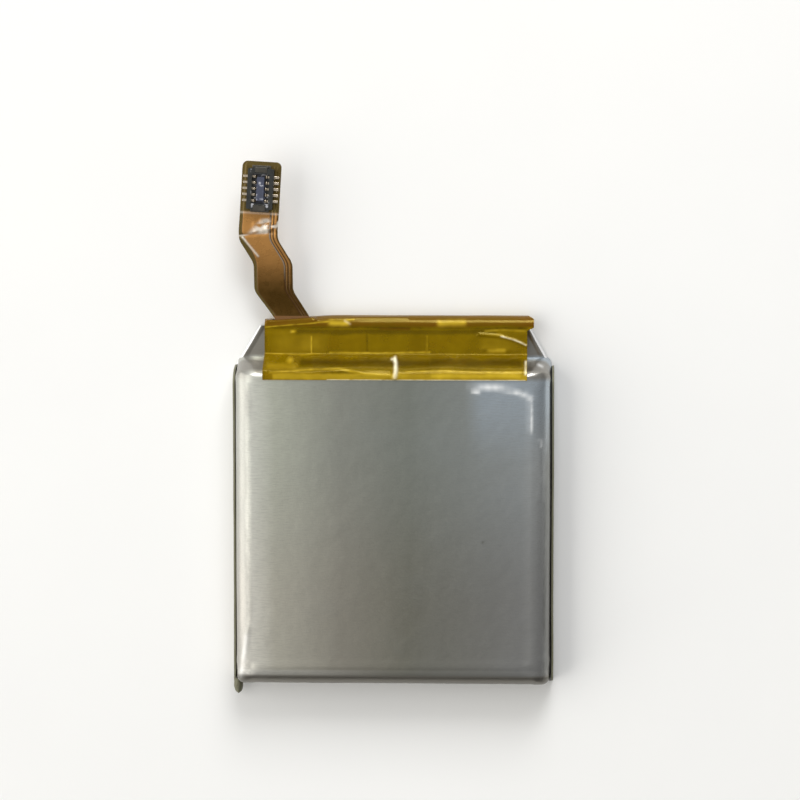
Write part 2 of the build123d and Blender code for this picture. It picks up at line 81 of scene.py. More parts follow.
class Value:
    """A node's output socket, whose arithmetic adds Math nodes."""

    def __init__(self, graph: Graph, socket: bpy.types.NodeSocket) -> None:
        """Keep the socket and the graph it belongs to."""
        self.graph = graph
        self.socket = socket

    def __add__(self, other: Operand) -> Value:
        """Add another value."""
        return self.graph.math("ADD", self, other)

    __radd__ = __add__

    def __sub__(self, other: Operand) -> Value:
        """Subtract another value."""
        return self.graph.math("SUBTRACT", self, other)

    def __rsub__(self, other: Operand) -> Value:
        """Subtract this from another value."""
        return self.graph.math("SUBTRACT", other, self)

    def __mul__(self, other: Operand) -> Value:
        """Multiply by another value."""
        return self.graph.math("MULTIPLY", self, other)

    __rmul__ = __mul__

    def clamp(self) -> Value:
        """Hold the value between 0 and 1."""
        return self.graph.math("ADD", self, 0.0, use_clamp=True)

    def size(self) -> Value:
        """Return the value without its sign."""
        return self.graph.math("ABSOLUTE", self, 0.0)

    def between(self, low: float, high: float) -> Value:
        """Rise smoothly from 0 at low to 1 at high.

        Args:
            low: where the rise starts; it may be above high, for a fall.
            high: where it ends.

        Returns:
            The eased value.
        """
        limits = {"Value": self, "From Min": low, "From Max": high}
        return self.graph.node("ShaderNodeMapRange", {"interpolation_type": "SMOOTHSTEP"}, limits)


class Graph:
    """The node tree of a material or a world, with one way to add a node."""

    def __init__(self, name: str, collection: Any = None) -> None:
        """Make an empty material of that name, or an empty world in the collection of worlds.

        Args:
            name: the name of the material or the world.
            collection: where to make it; among the materials, if left out.
        """
        self.owner = (bpy.data.materials if collection is None else collection).new(name)
        self.owner.use_nodes = True
        self.tree = self.owner.node_tree
        self.tree.nodes.clear()
        self.axes: dict[str, Value] = {}

    def node(
        self,
        kind: str,
        settings: dict[str, Any] | None = None,
        inputs: dict[Any, Any] | None = None,
        output: int | str = 0,
    ) -> Value:
        """Add a node, set it up, and fill or link its inputs.

        Args:
            kind: the node's type name.
            settings: properties to set first; "stops" fills a colour ramp with (place, colour) pairs.
            inputs: a number, colour or Value for each input, by name or index.
            output: which output to return.

        Returns:
            The chosen output.
        """
        made = self.tree.nodes.new(kind)
        for name, setting in (settings or {}).items():
            if name == "stops":
                self._fill_ramp(made.color_ramp, setting)
            else:
                setattr(made, name, setting)
        for name, given in (inputs or {}).items():
            if isinstance(given, Value):
                self.tree.links.new(given.socket, made.inputs[name])
            else:
                made.inputs[name].default_value = given
        return Value(self, made.outputs[output])

    @staticmethod
    def _fill_ramp(ramp: bpy.types.ColorRamp, stops: Sequence[tuple[float, Colour]]) -> None:
        """Give a colour ramp these stops.

        Args:
            ramp: the ramp.
            stops: a place from 0 to 1 and a colour for each stop.
        """
        while len(ramp.elements) < len(stops):
            ramp.elements.new(1.0)
        for element, (place, colour) in zip(ramp.elements, stops):
            element.position = place
            element.color = colour

    def math(self, operation: str, first: Operand, second: Operand, use_clamp: bool = False) -> Value:
        """Add a Math node."""
        settings = {"operation": operation, "use_clamp": use_clamp}
        return self.node("ShaderNodeMath", settings, {0: first, 1: second})

    def mix(self, factor: Operand, first: Value | Colour, second: Value | Colour) -> Value:
        """Mix two colours."""
        return self.node("ShaderNodeMix", {"data_type": "RGBA"}, {0: factor, 6: first, 7: second}, 2)

    def ramp(self, value: Value, stops: Sequence[tuple[float, Colour]]) -> Value:
        """Turn a value into a colour."""
        return self.node("ShaderNodeValToRGB", {"stops": stops}, {0: value})

    def place(self, stretch: tuple[float, float, float] = (1.0, 1.0, 1.0)) -> Value:
        """Return the surface's own coordinates in millimetres, stretched along each axis.

        Args:
            stretch: what each coordinate is multiplied by.

        Returns:
            The coordinates.
        """
        own = self.node("ShaderNodeTexCoord", output="Object")
        factor = tuple(share / MM for share in stretch)
        return self.node("ShaderNodeVectorMath", {"operation": "MULTIPLY"}, {0: own, 1: factor})

    def axis(self, name: str) -> Value:
        """Return one of the surface's own coordinates, "X", "Y" or "Z", in millimetres.

        Args:
            name: the axis.

        Returns:
            The coordinate; the same nodes serve each time.
        """
        if name not in self.axes:
            self.axes[name] = self.node("ShaderNodeSeparateXYZ", inputs={0: self.place()}, output=name)
        return self.axes[name]

    def attribute(self, name: str) -> Value:
        """Return a value stored on the mesh."""
        return self.node("ShaderNodeAttribute", {"attribute_name": name}, output="Fac")

    def grain(
        self, size: float, detail: float = 2.0, stretch: tuple[float, float, float] = (1.0, 1.0, 1.0)
    ) -> Value:
        """Return a noise whose lumps are about size millimetres across.

        Args:
            size: the lumps' size.
            detail: how many finer layers lie over them.
            stretch: above 1 to squeeze the lumps along an axis, and below 1 to draw them out.

        Returns:
            The noise, from 0 to 1.
        """
        scale = {"Vector": self.place(stretch), "Scale": 1.0 / size, "Detail": detail, "Roughness": 0.55}
        return self.node("ShaderNodeTexNoise", inputs=scale)

    def bump(self, height: Value, depth: float, under: Value | None = None) -> Value:
        """Return a normal for a relief.

        Args:
            height: the relief, from 0 to 1.
            depth: how deep it is, in millimetres.
            under: a normal to lay it over.

        Returns:
            The normal.
        """
        inputs: dict[Any, Any] = {"Height": height, "Strength": 1.0, "Distance": depth * MM}
        if under is not None:
            inputs["Normal"] = under
        return self.node("ShaderNodeBump", inputs=inputs)

    def principled(self, **inputs: Any) -> Value:
        """Add a Principled shader; each keyword is an input's name with _ for its spaces."""
        named = {name.replace("_", " "): given for name, given in inputs.items()}
        return self.node("ShaderNodeBsdfPrincipled", inputs=named)

    def finish(self, shader: Value, output: str = "ShaderNodeOutputMaterial") -> Any:
        """Link the surface shader and return the material or the world.

        Args:
            shader: the surface shader.
            output: the output node's type name.

        Returns:
            The material or the world.
        """
        made = self.tree.nodes.new(output)
        self.tree.links.new(shader.socket, made.inputs["Surface"])
        return self.owner


# Finishes -------------------------------------------------------------------------------------------


@dataclass(frozen=True)
class Zone:
    """A part of a surface with soft borders, in the millimetres of the part's frame.

    Attributes:
        strength: how much of the zone's colour shows inside it.
        borders: an axis, the place where the zone starts to show, and the place where it shows in full.
    """

    strength: float
    borders: tuple[tuple[str, float, float], ...]

    def cover(self, graph: Graph) -> Value:
        """Return how strongly the zone shows at each place.

        Args:
            graph: the node tree to work in.

        Returns:
            The strength, from 0 outside the borders.
        """
        cover: Operand = self.strength
        for axis, start, full in self.borders:
            cover = graph.axis(axis).between(start, full) * cover
        return cover


@dataclass(frozen=True)
class LaminateFinish:
    """The pouch's nylon-faced aluminium laminate, matt with a fine cross-wise rolling grain.

    Attributes:
        across: from side to side, a share of the width and its colours at the terminal and the lower end;
            these colours are painted light and shade.
        width: the width that those shares are of, in millimetres.
        blend: where, along Y, the one end's colours start to give way to the other's, and where they have.
        painted_reflection: where the face is glossier and painted bluer, as a painted reflection.
        rim_highlight_left: where the lower edge of the face is painted paler, as a highlight, on the left
            only.
        rim_highlight_along: the same painted highlight, all along the lower edge.
        dull: painted shade on the terminal wall, the lower wall, the two shoulders by the tape, and the
            ledge.
        lower_crease_shade: painted shade along the line where the face turns into the lower wall.
    """

    name: str = "laminate_film"
    width: float = 24.0
    blend: tuple[float, float] = (7.5, -7.5)
    # Painted light and shade: a bright band on the left shoulder, darker across the middle and right, a paler
    # line on the right shoulder, and darker towards the lower end.
    across: tuple[tuple[float, Colour, Colour], ...] = (
        (0.02, rgb(0.5, 0.5, 0.46), rgb(0.5, 0.48, 0.44)),
        (0.04, rgb(0.41, 0.41, 0.38), rgb(0.41, 0.4, 0.37)),
        (0.06, rgb(0.84, 0.85, 0.77), rgb(0.84, 0.82, 0.74)),
        (0.13, rgb(0.58, 0.6, 0.51), rgb(0.56, 0.54, 0.46)),
        (0.34, rgb(0.35, 0.36, 0.32), rgb(0.35, 0.33, 0.28)),
        (0.55, rgb(0.28, 0.3, 0.27), rgb(0.23, 0.225, 0.185)),
        (0.9, rgb(0.39, 0.42, 0.43), rgb(0.285, 0.285, 0.28)),
        (0.97, rgb(0.53, 0.55, 0.55), rgb(0.39, 0.39, 0.385)),
        (0.98, rgb(0.31, 0.32, 0.31), rgb(0.24, 0.24, 0.23)),
    )
    # A darker tone for the mottle, and the colour of the painted shade in the dull zones.
    worn: Colour = rgb(0.29, 0.27, 0.235)
    # Near black: the painted shade along the lower crease, and the pit.
    crease_shade_and_pit: Colour = rgb(0.05, 0.045, 0.03)
    # The pale of the painted highlight along the lower edge.
    rim: Colour = rgb(0.75, 0.74, 0.7)
    # The white of the painted glints along the creases.
    pale: Colour = rgb(0.97, 0.98, 0.98)
    # The blue of the painted reflection.
    reflection_blue: Colour = rgb(0.52, 0.60, 0.68)
    rolled: Colour = rgb(0.22, 0.22, 0.2)
    painted_reflection: Zone = Zone(1.0, (("Y", 3.5, 10.0), ("X", 5.2, 7.0)))
    rim_highlight_left: Zone = Zone(0.3, (("Y", -11.3, -11.5), ("Y", -11.9, -11.72), ("X", 0.0, -8.0)))
    rim_highlight_along: Zone = Zone(0.12, (("Y", -11.3, -11.5), ("Y", -11.9, -11.72)))
    dull: tuple[Zone, ...] = (
        Zone(0.9, (("Y", 10.5, 11.3), ("Z", 3.75, 2.9), ("Z", 0.75, 1.4))),
        Zone(0.85, (("Y", -11.72, -11.9), ("Z", 0.2, 0.5))),
        Zone(0.9, (("Y", 10.35, 10.8), ("Z", 2.0, 2.4), ("X", 8.0, 10.2))),
        Zone(0.35, (("Y", 10.35, 10.8), ("Z", 2.0, 2.4), ("X", -9.4, -9.9))),
        Zone(0.92, (("Y", 11.9, 12.3), ("Z", 0.9, 0.75))),
    )
    lower_crease_shade: Zone = Zone(0.55, (("Y", -11.85, -12.0), ("Z", 2.3, 2.6)))

    def build(self) -> bpy.types.Material:
        """Make the material.

        Returns:
            The material.
        """
        graph = Graph(self.name)
        rolling = graph.grain(0.075, 2.0, (0.12, 1.0, 1.0))
        mottle = graph.grain(0.5, 3.0)
        blotch = graph.grain(4.0, 3.0)
        place = graph.axis("X") * (1 / self.width) + 0.5 + (blotch - 0.5) * 0.03
        # The face's base colours are painted light and shade, blended from the terminal end to the lower end.
        terminal_end_shading = graph.ramp(place, [(share, colour) for share, colour, _ in self.across])
        lower_end_shading = graph.ramp(place, [(share, colour) for share, _, colour in self.across])
        base = graph.mix(graph.axis("Y").between(*self.blend), terminal_end_shading, lower_end_shading)
        base = graph.mix((mottle - 0.5) * 0.12, base, self.worn)
        # A painted bluish reflection near the upper right, where the face is also glossier.
        painted_reflection = self.painted_reflection.cover(graph)
        base = graph.mix(painted_reflection * 0.75 + (blotch - 0.5) * 0.1, base, self.reflection_blue)
        # A painted highlight along the lower edge of the face, stronger on the left.
        rim = self.rim_highlight_left.cover(graph) + self.rim_highlight_along.cover(graph)
        base = graph.mix(rim, base, self.rim)
        # Painted shade on the walls, the shoulders by the tape and the ledge.
        for zone in self.dull:
            base = graph.mix(zone.cover(graph), base, self.worn)
        # Painted shade along the lower crease.
        base = graph.mix(self.lower_crease_shade.cover(graph), base, self.crease_shade_and_pit)
        shade = graph.mix((rolling - 0.42).clamp() * 0.8, base, self.rolled)
        # Painted glints, white and not metallic, along the creases; and the dark pit.
        painted_glint, pit = graph.attribute("painted_glint"), graph.attribute("pit")
        normal = graph.bump(rolling, 0.004, graph.bump(blotch, 0.05, graph.bump(mottle, 0.006)))
        surface = graph.principled(
            Base_Color=graph.mix((pit * 0.9).clamp(), graph.mix(painted_glint, shade, self.pale), self.crease_shade_and_pit),
            Metallic=0.92 - painted_glint * 0.85,
            Roughness=0.38 + (rolling - 0.5) * 0.2 - painted_reflection * 0.06,
            Coat_Weight=0.25,
            Coat_Roughness=0.16,
            Normal=normal,
        )
        return graph.finish(surface)


@dataclass(frozen=True)
class CutEdgeFinish:
    """The laminate's trimmed edge, where its layers show as a dull olive line."""

    name: str = "laminate_cut_edge"
    dull: Colour = rgb(0.105, 0.10, 0.055)
    pale: Colour = rgb(0.24, 0.235, 0.16)

    def build(self) -> bpy.types.Material:
        """Make the material.

        Returns:
            The material.
        """
        graph = Graph(self.name)
        layers = graph.grain(0.05, 2.0, (1.0, 0.1, 1.0))
        dirt = graph.grain(0.8, 3.0)
        base = graph.mix((layers * 0.5 + dirt * 0.5).clamp(), self.dull, self.pale)
        surface = graph.principled(
            Base_Color=base, Metallic=0.3, Roughness=0.5 + dirt * 0.2, Normal=graph.bump(layers, 0.01)
        )
        return graph.finish(surface)


@dataclass(frozen=True)
class AmberTapeFinish:
    """Polyimide tape: a clear amber film with a faint, cloudy layer of glue, with the brown of what lies
    under it, painted highlights and painted shadow.
    """

    name: str = "amber_tape"
    film: Colour = rgb(0.37, 0.25, 0.0)
    deep: Colour = rgb(0.19, 0.13, 0.0)
    rust: Colour = rgb(0.15, 0.058, 0.0)
    # Gold: the metal under the tape, with painted highlights and reflections where it bends.
    gold: Colour = rgb(0.80, 0.56, 0.035)
    shadow: Colour = rgb(0.07, 0.035, 0.0)
    # White: painted glare on the creases and a painted highlight along the lower edge.
    white: Colour = rgb(0.95, 0.90, 0.70)
    tint: Colour = rgb(0.86, 0.62, 0.001)

    def build(self) -> bpy.types.Material:
        """Make the material.

        Returns:
            The material.
        """
        graph = Graph(self.name)
        cloud = graph.grain(2.0, 3.0)
        glue = graph.grain(0.3, 3.0, (0.4, 1.0, 1.0))
        names = ("rust", "gold", "shadow", "white")
        rust, gold, shadow, white = (graph.attribute(name) for name in names)
        stain = (rust + (cloud - 0.5) * rust * 0.9).clamp()
        base = graph.mix((cloud * 0.7 + glue * 0.3).clamp(), self.deep, self.film)
        base = graph.mix(stain, base, self.rust)
        # Painted shadow; gold, mostly painted highlights; white, painted glare.
        base = graph.mix(shadow, base, self.shadow)
        base = graph.mix((gold * (cloud + 0.55)).clamp(), base, self.gold)
        base = graph.mix(white, base, self.white)
        film = graph.principled(
            Base_Color=base,
            Roughness=0.13 + glue * 0.12,
            IOR=1.6,
            Specular_Tint=rgb(1.0, 0.82, 0.22),
            Normal=graph.bump(cloud, 0.03, graph.bump(glue, 0.003)),
        )
        tint = graph.mix((stain * 0.8 + shadow * 0.8).clamp(), self.tint, self.rust)
        clear = graph.node("ShaderNodeBsdfTransparent", inputs={"Color": tint})
        body = ((cloud - 0.5) * 0.3 + gold * 0.3 + stain * 0.25 + white + 0.55).clamp()
        return graph.finish(graph.node("ShaderNodeMixShader", inputs={0: body, 1: clear, 2: film}))


@dataclass(frozen=True)
class FlexFilmFinish:
    """Brown cover film over copper: glossy, darker over the gaps; painted shade towards the root, painted
    light towards the head, and painted white highlights.
    """

    name: str = "flex_cover_film"
    # Lit and shaded tones of the film over copper, for the painted light and shade along the tail.
    bright: Colour = rgb(0.46, 0.225, 0.065)
    dark: Colour = rgb(0.062, 0.029, 0.002)
    gap: Colour = rgb(0.05, 0.02, 0.004)
    margin: Colour = rgb(0.10, 0.07, 0.018)
    # The white of the painted highlights at the kinks and along the bent edges.
    worn: Colour = rgb(0.9, 0.84, 0.74)

    def build(self) -> bpy.types.Material:
        """Make the material.

        Returns:
            The material.
        """
        graph = Graph(self.name)
        mottle = graph.grain(0.7, 3.0)
        along = graph.attribute("along")
        copper = graph.attribute("copper")
        edge = graph.attribute("margin")
        # Painted shade towards the root, painted light towards the head.
        painted_light_share = (along.between(16.7, 21.0) + (mottle - 0.5) * 0.3).clamp()
        over_copper = graph.mix(painted_light_share, self.dark, self.bright)
        base = graph.mix(copper, self.gap, over_copper)
        base = graph.mix(edge, base, self.margin)
        # Painted white highlights.
        base = graph.mix(graph.attribute("white"), base, self.worn)
        surface = graph.principled(
            Base_Color=base,
            Metallic=copper * 0.3,
            Roughness=0.2 + mottle * 0.16,
            Specular_Tint=rgb(1.0, 0.75, 0.45),
            Normal=graph.bump(mottle, 0.012),
        )
        return graph.finish(surface)


@dataclass(frozen=True)
class FilmFinish:
    """A plain plastic film, board, moulding or paper, with its own mottle and gloss."""

    name: str
    light: Colour
    shade: Colour
    roughness: float = 0.35
    grain: float = 0.4
    relief: float = 0.01
    coat: float = 0.0

    def build(self) -> bpy.types.Material:
        """Make the material.

        Returns:
            The material.
        """
        graph = Graph(self.name)
        mottle = graph.grain(self.grain, 3.0)
        fine = graph.grain(self.grain * 0.15, 2.0)
        base = graph.mix((mottle * 0.8 + fine * 0.2).clamp(), self.shade, self.light)
        surface = graph.principled(
            Base_Color=base,
            Roughness=self.roughness + (fine - 0.5) * 0.15,
            Coat_Weight=self.coat,
            Normal=graph.bump(fine, self.relief),
        )
        return graph.finish(surface)


@dataclass(frozen=True)
class ConnectorFinish:
    """The connector's black moulding, with a greyer, waxier island and pale specks in its corners, painted as
    glints.
    """

    name: str = "connector_black"
    black: Colour = rgb(0.011, 0.012, 0.011)
    worn: Colour = rgb(0.034, 0.036, 0.034)
    island: Colour = rgb(0.07, 0.08, 0.13)
    # The pale of the painted glints.
    glint_colour: Colour = rgb(0.62, 0.63, 0.68)
    middle: tuple[float, float] = (-9.908, 24.804)

    def build(self) -> bpy.types.Material:
        """Make the material.

        Returns:
            The material.
        """
        graph = Graph(self.name)
        mottle = graph.grain(0.3, 3.0)
        fleck = graph.grain(0.42, 2.0)
        across = (graph.axis("X") - self.middle[0]).size()
        along = (graph.axis("Y") - self.middle[1]).size()
        island = across.between(0.42, 0.3) * along.between(1.15, 0.95)
        base = graph.mix(mottle, self.black, self.worn)
        base = graph.mix(island * (fleck * 0.9 + 0.35), base, self.island)
        # Painted glints: pale specks.
        base = graph.mix(fleck.between(0.58, 0.66) * across.between(0.75, 0.6) * 0.65, base, self.glint_colour)
        normal = graph.bump(mottle, 0.01, graph.bump(fleck, 0.03))
        surface = graph.principled(Base_Color=base, Roughness=0.22 + mottle * 0.2, Normal=normal)
        return graph.finish(surface)


@dataclass(frozen=True)
class MetalFinish:
    """Bare or plated sheet metal with drawing lines along Y."""

    name: str
    light: Colour
    shade: Colour
    roughness: float = 0.28
    grain: float = 0.08

    def build(self) -> bpy.types.Material:
        """Make the material.

        Returns:
            The material.
        """
        graph = Graph(self.name)
        drawn = graph.grain(self.grain, 3.0, (1.0, 0.12, 1.0))
        tarnish = graph.grain(0.9, 3.0)
        base = graph.mix((drawn * 0.4 + tarnish * 0.6).clamp(), self.shade, self.light)
        surface = graph.principled(
            Base_Color=base,
            Metallic=0.95,
            Roughness=self.roughness + (tarnish - 0.5) * 0.2,
            Normal=graph.bump(drawn, 0.004),
        )
        return graph.finish(surface)


@dataclass(frozen=True)
class FloorFinish:
    """A plain pale studio floor."""

    name: str = "studio_floor"
    light: Colour = rgb(0.93, 0.93, 0.92)
    shade: Colour = rgb(0.90, 0.90, 0.895)

    def build(self) -> bpy.types.Material:
        """Make the material.

        Returns:
            The material.
        """
        graph = Graph(self.name)
        base = graph.mix(graph.grain(12.0, 2.0), self.shade, self.light)
        return graph.finish(graph.principled(Base_Color=base, Roughness=0.7))


# Meshes ---------------------------------------------------------------------------------------------


@lru_cache(maxsize=None)
def node_box(*names: str) -> tuple[np.ndarray, np.ndarray]:
    """Return the lowest and highest corners of some CAD nodes together, in millimetres."""
    lows, highs = zip(*[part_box(name) for name in names])
    return np.min(lows, axis=0) / MM, np.max(highs, axis=0) / MM


def smooth_step(
    value: np.ndarray, low: float | np.ndarray, high: float | np.ndarray
) -> np.ndarray:
    """Rise smoothly from 0 at low to 1 at high."""
    share = np.clip((value - low) / (high - low), 0.0, 1.0)
    return share * share * (3.0 - 2.0 * share)


def eased_ramp(value: np.ndarray, low: float, high: float, ease: float) -> np.ndarray:
    """Rise in a straight line from 0 at low to 1 at high, with both corners rounded over an ease."""
    shifts = np.linspace(-ease, ease, 15)
    return np.mean([np.clip((value + shift - low) / (high - low), 0.0, 1.0) for shift in shifts], axis=0)


def lumps(points: np.ndarray, size: float, seed: float) -> np.ndarray:
    """Return a smooth noise at some points.

    Args:
        points: their coordinates in millimetres, three to a point.
        size: the lumps' size in millimetres.
        seed: moves the pattern, so that two surfaces differ.

    Returns:
        A value from about -1 to 1 for each point.
    """
    flat = points.reshape(-1, 3) / size + seed
    values = [noise.noise(Vector(point)) for point in flat]
    return np.array(values).reshape(points.shape[:-1])


def to_line(points: np.ndarray, line: Sequence[tuple[float, float]]) -> np.ndarray:
    """Return each point's distance in plan from a broken line.

    Args:
        points: coordinates in millimetres, two or more to a point.
        line: the broken line's corners in plan.

    Returns:
        The distances in millimetres.
    """
    plan = points[..., :2]
    nearest = np.full(plan.shape[:-1], np.inf)
    for start, end in zip(line[:-1], line[1:]):
        first, run = np.array(start), np.subtract(end, start)
        share = np.clip(((plan - first) @ run) / (run @ run), 0.0, 1.0)
        away = plan - first - share[..., None] * run
        nearest = np.minimum(nearest, np.hypot(away[..., 0], away[..., 1]))
    return nearest


def rounded_path(points: Sequence[tuple[float, float]], radii: Sequence[float], step: float) -> np.ndarray:
    """Return closely spaced points along a broken line whose corners are rounded.

    Args:
        points: the line's corners.
        radii: one radius for each corner between the two ends.
        step: the spacing.

    Returns:
        An array of points, two numbers each.
    """
    corners = np.array(points, float)
    path = [corners[0]]
    for before, corner, after, radius in zip(corners[:-2], corners[1:-1], corners[2:], radii):
        back = (before - corner) / np.linalg.norm(before - corner)
        onward = (after - corner) / np.linalg.norm(after - corner)
        half = math.acos(float(np.clip(back @ onward, -1.0, 1.0))) / 2
        reach = radius / math.tan(half)
        middle = corner + (back + onward) / np.linalg.norm(back + onward) * radius / math.sin(half)
        first, last = corner + back * reach - middle, corner + onward * reach - middle
        turn = math.pi - 2 * half
        for share in np.linspace(0.0, 1.0, max(3, int(turn * radius / step))):
            weights = math.sin((1 - share) * turn), math.sin(share * turn)
            path.append(middle + (first * weights[0] + last * weights[1]) / math.sin(turn))
    path.append(corners[-1])
    spaced = [path[0]]
    for start, end in zip(path[:-1], path[1:]):
        parts = max(1, round(float(np.linalg.norm(end - start)) / step))
        spaced += [start + (end - start) * (part + 1) / parts for part in range(parts)]
    return np.array(spaced)


def path_normals(path: np.ndarray) -> np.ndarray:
    """Return the unit normal to the left of a path at each of its points.

    Args:
        path: points along a line, two numbers each.

    Returns:
        One unit vector for each point.
    """
    along = np.gradient(path, axis=0)
    along /= np.linalg.norm(along, axis=1)[:, None]
    return np.stack([-along[:, 1], along[:, 0]], axis=1)


def make_piece(
    name: str,
    vertices: np.ndarray,
    faces: list[tuple[int, ...]],
    finishes: Sequence[bpy.types.Material],
    slots: Sequence[int] | None = None,
    crisp: float = 40.0,
) -> bpy.types.Object:
    """Make a smooth-shaded mesh object.

    Args:
        name: the object's name.
        vertices: its points in millimetres.
        faces: its faces, as indices of points.
        finishes: its materials.
        slots: which finish each face takes; the first, if left out.
        crisp: edges that turn by more than this many degrees are left sharp.

    Returns:
        The object, at the origin.
    """
    mesh = bpy.data.meshes.new(name)
    mesh.from_pydata((vertices * MM).tolist(), [], faces)
    for finish in finishes:
        mesh.materials.append(finish)
    if slots is not None:
        mesh.polygons.foreach_set("material_index", list(slots))
    work = bmesh.new()
    work.from_mesh(mesh)
    bmesh.ops.recalc_face_normals(work, faces=work.faces)
    work.to_mesh(mesh)
    work.free()
    mesh.polygons.foreach_set("use_smooth", [True] * len(mesh.polygons))
    mesh.set_sharp_from_angle(angle=math.radians(crisp))
    made = bpy.data.objects.new(name, mesh)
    bpy.context.scene.collection.objects.link(made)
    return made


def store(piece: bpy.types.Object, name: str, values: np.ndarray) -> None:
    """Store a value on each of a mesh's points, for its finish to read."""
    attribute = piece.data.attributes.new(name, "FLOAT", "POINT")
    attribute.data.foreach_set("value", values.astype(np.float32))


def closed_sheet(
    name: str,
    top: np.ndarray,
    bottom: np.ndarray,
    finishes: Sequence[bpy.types.Material],
    keep: np.ndarray | None = None,
    tones: dict[str, np.ndarray] | None = None,
    crisp: float = 40.0,
) -> bpy.types.Object:
    """Make a closed sheet between two grids of points.

    Args:
        name: the object's name.
        top: the upper grid, rows by columns by three.
        bottom: the lower grid, of the same shape.
        finishes: the sheet's material, and its rim's where it has another.
        keep: which cells of the grid are there; all, if left out.
        tones: grids of values to store on the points, the same on both faces, for the finish to read.
        crisp: edges that turn by more than this many degrees are left sharp.

    Returns:
        The object.
    """
    rows, columns = top.shape[:2]
    if keep is None:
        keep = np.ones((rows - 1, columns - 1), bool)
    count = rows * columns
    faces: list[tuple[int, ...]] = []
    slots: list[int] = []
    held = np.zeros((rows + 1, columns + 1), bool)
    held[1:-1, 1:-1] = keep
    for row, column in zip(*np.nonzero(keep)):
        first = int(row * columns + column)
        ring = [first, first + 1, first + columns + 1, first + columns]
        faces += [tuple(ring), tuple(index + count for index in reversed(ring))]
        slots += [0, 0]
        beside = [
            held[row, column + 1], held[row + 1, column + 2],
            held[row + 2, column + 1], held[row + 1, column],
        ]
        for side, neighbour in enumerate(beside):
            if not neighbour:
                start, end = ring[side], ring[(side + 1) % 4]
                faces.append((start, start + count, end + count, end))
                slots.append(min(1, len(finishes) - 1))
    vertices = np.concatenate([top.reshape(-1, 3), bottom.reshape(-1, 3)])
    used = sorted({index for face in faces for index in face})
    renumber = {old: new for new, old in enumerate(used)}
    faces = [tuple(renumber[index] for index in face) for face in faces]
    made = make_piece(name, vertices[used], faces, finishes, slots, crisp)
    for tone, grid in (tones or {}).items():
        store(made, tone, np.concatenate([grid.ravel(), grid.ravel()])[used])
    return made


def settle(piece: bpy.types.Object, body: str, slot: str, *nodes: str) -> None:
    """Let a finished piece ride on a body, and hide the CAD nodes it stands for.

    Args:
        piece: the finished piece.
        body: the body it rides on; empty for a piece that rides on none.
        slot: its material's name; not used.
        *nodes: the CAD nodes it stands for.
    """
    if nodes:
        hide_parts(*nodes)
    if body:
        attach(piece, body)
    log.info("%s: %d faces", piece.name, len(piece.data.polygons))


# The pouch ------------------------------------------------------------------------------------------


@dataclass(frozen=True)
class Crease:
    """A raised or sunk line in a film, in plan."""

    line: tuple[tuple[float, float], ...]
    width: float
    height: float


@dataclass(frozen=True)
class Streak:
    """A line on a film, in plan, painted paler or darker: painted highlights and shade along creases, and a
    pit.
    """

    line: tuple[tuple[float, float], ...]
    width: float
    strength: float

    def cover(self, points: np.ndarray) -> np.ndarray:
        """Return the streak's strength at some points, broken up a little along its length.

        Args:
            points: coordinates in millimetres, three to a point.

        Returns:
            The strength at each point.
        """
        away = to_line(points, self.line) / self.width
        broken = 0.75 + 0.5 * lumps(points * [1.0, 1.0, 0.0], 0.35, 5.5)
        return self.strength * np.clip(broken, 0.0, 1.0) * np.exp(-(away ** 2))


class Side(Enum):
    """The two sides of the cell."""

    LEFT = -1
    RIGHT = 1


@dataclass(frozen=True)
class CupSide:
    """The profile of the cup along one side: a rounded shoulder, then a wall that leans out.

    Attributes:
        width: how far the shoulder and the wall reach in plan.
        radius: the shoulder's radius.
        drop: the height from the face to the wall's foot.
    """

    width: float
    radius: float
    drop: float = 3.75

    @property
    def lean(self) -> float:
        """Return the wall's angle from level, where it meets the shoulder.

        Returns:
            The angle in radians.
        """
        down = self.drop - self.radius
        slant = math.atan2(self.width, -down)
        return slant - math.acos(self.radius / math.hypot(self.width, down))

    def at(self, share: float) -> tuple[float, float, float]:
        """Return the profile at a share of its run, 0 to 1 being the shoulder and 1 to 2 the wall.

        Args:
            share: the share.

        Returns:
            The inset in plan, the depth below the face, and the lean.
        """
        angle = self.lean * min(share, 1.0)
        inset = self.width - self.radius * math.sin(angle)
        depth = self.radius * (1 - math.cos(angle))
        down = max(share - 1.0, 0.0)
        return inset * (1 - down), depth + (self.drop - depth) * down, angle


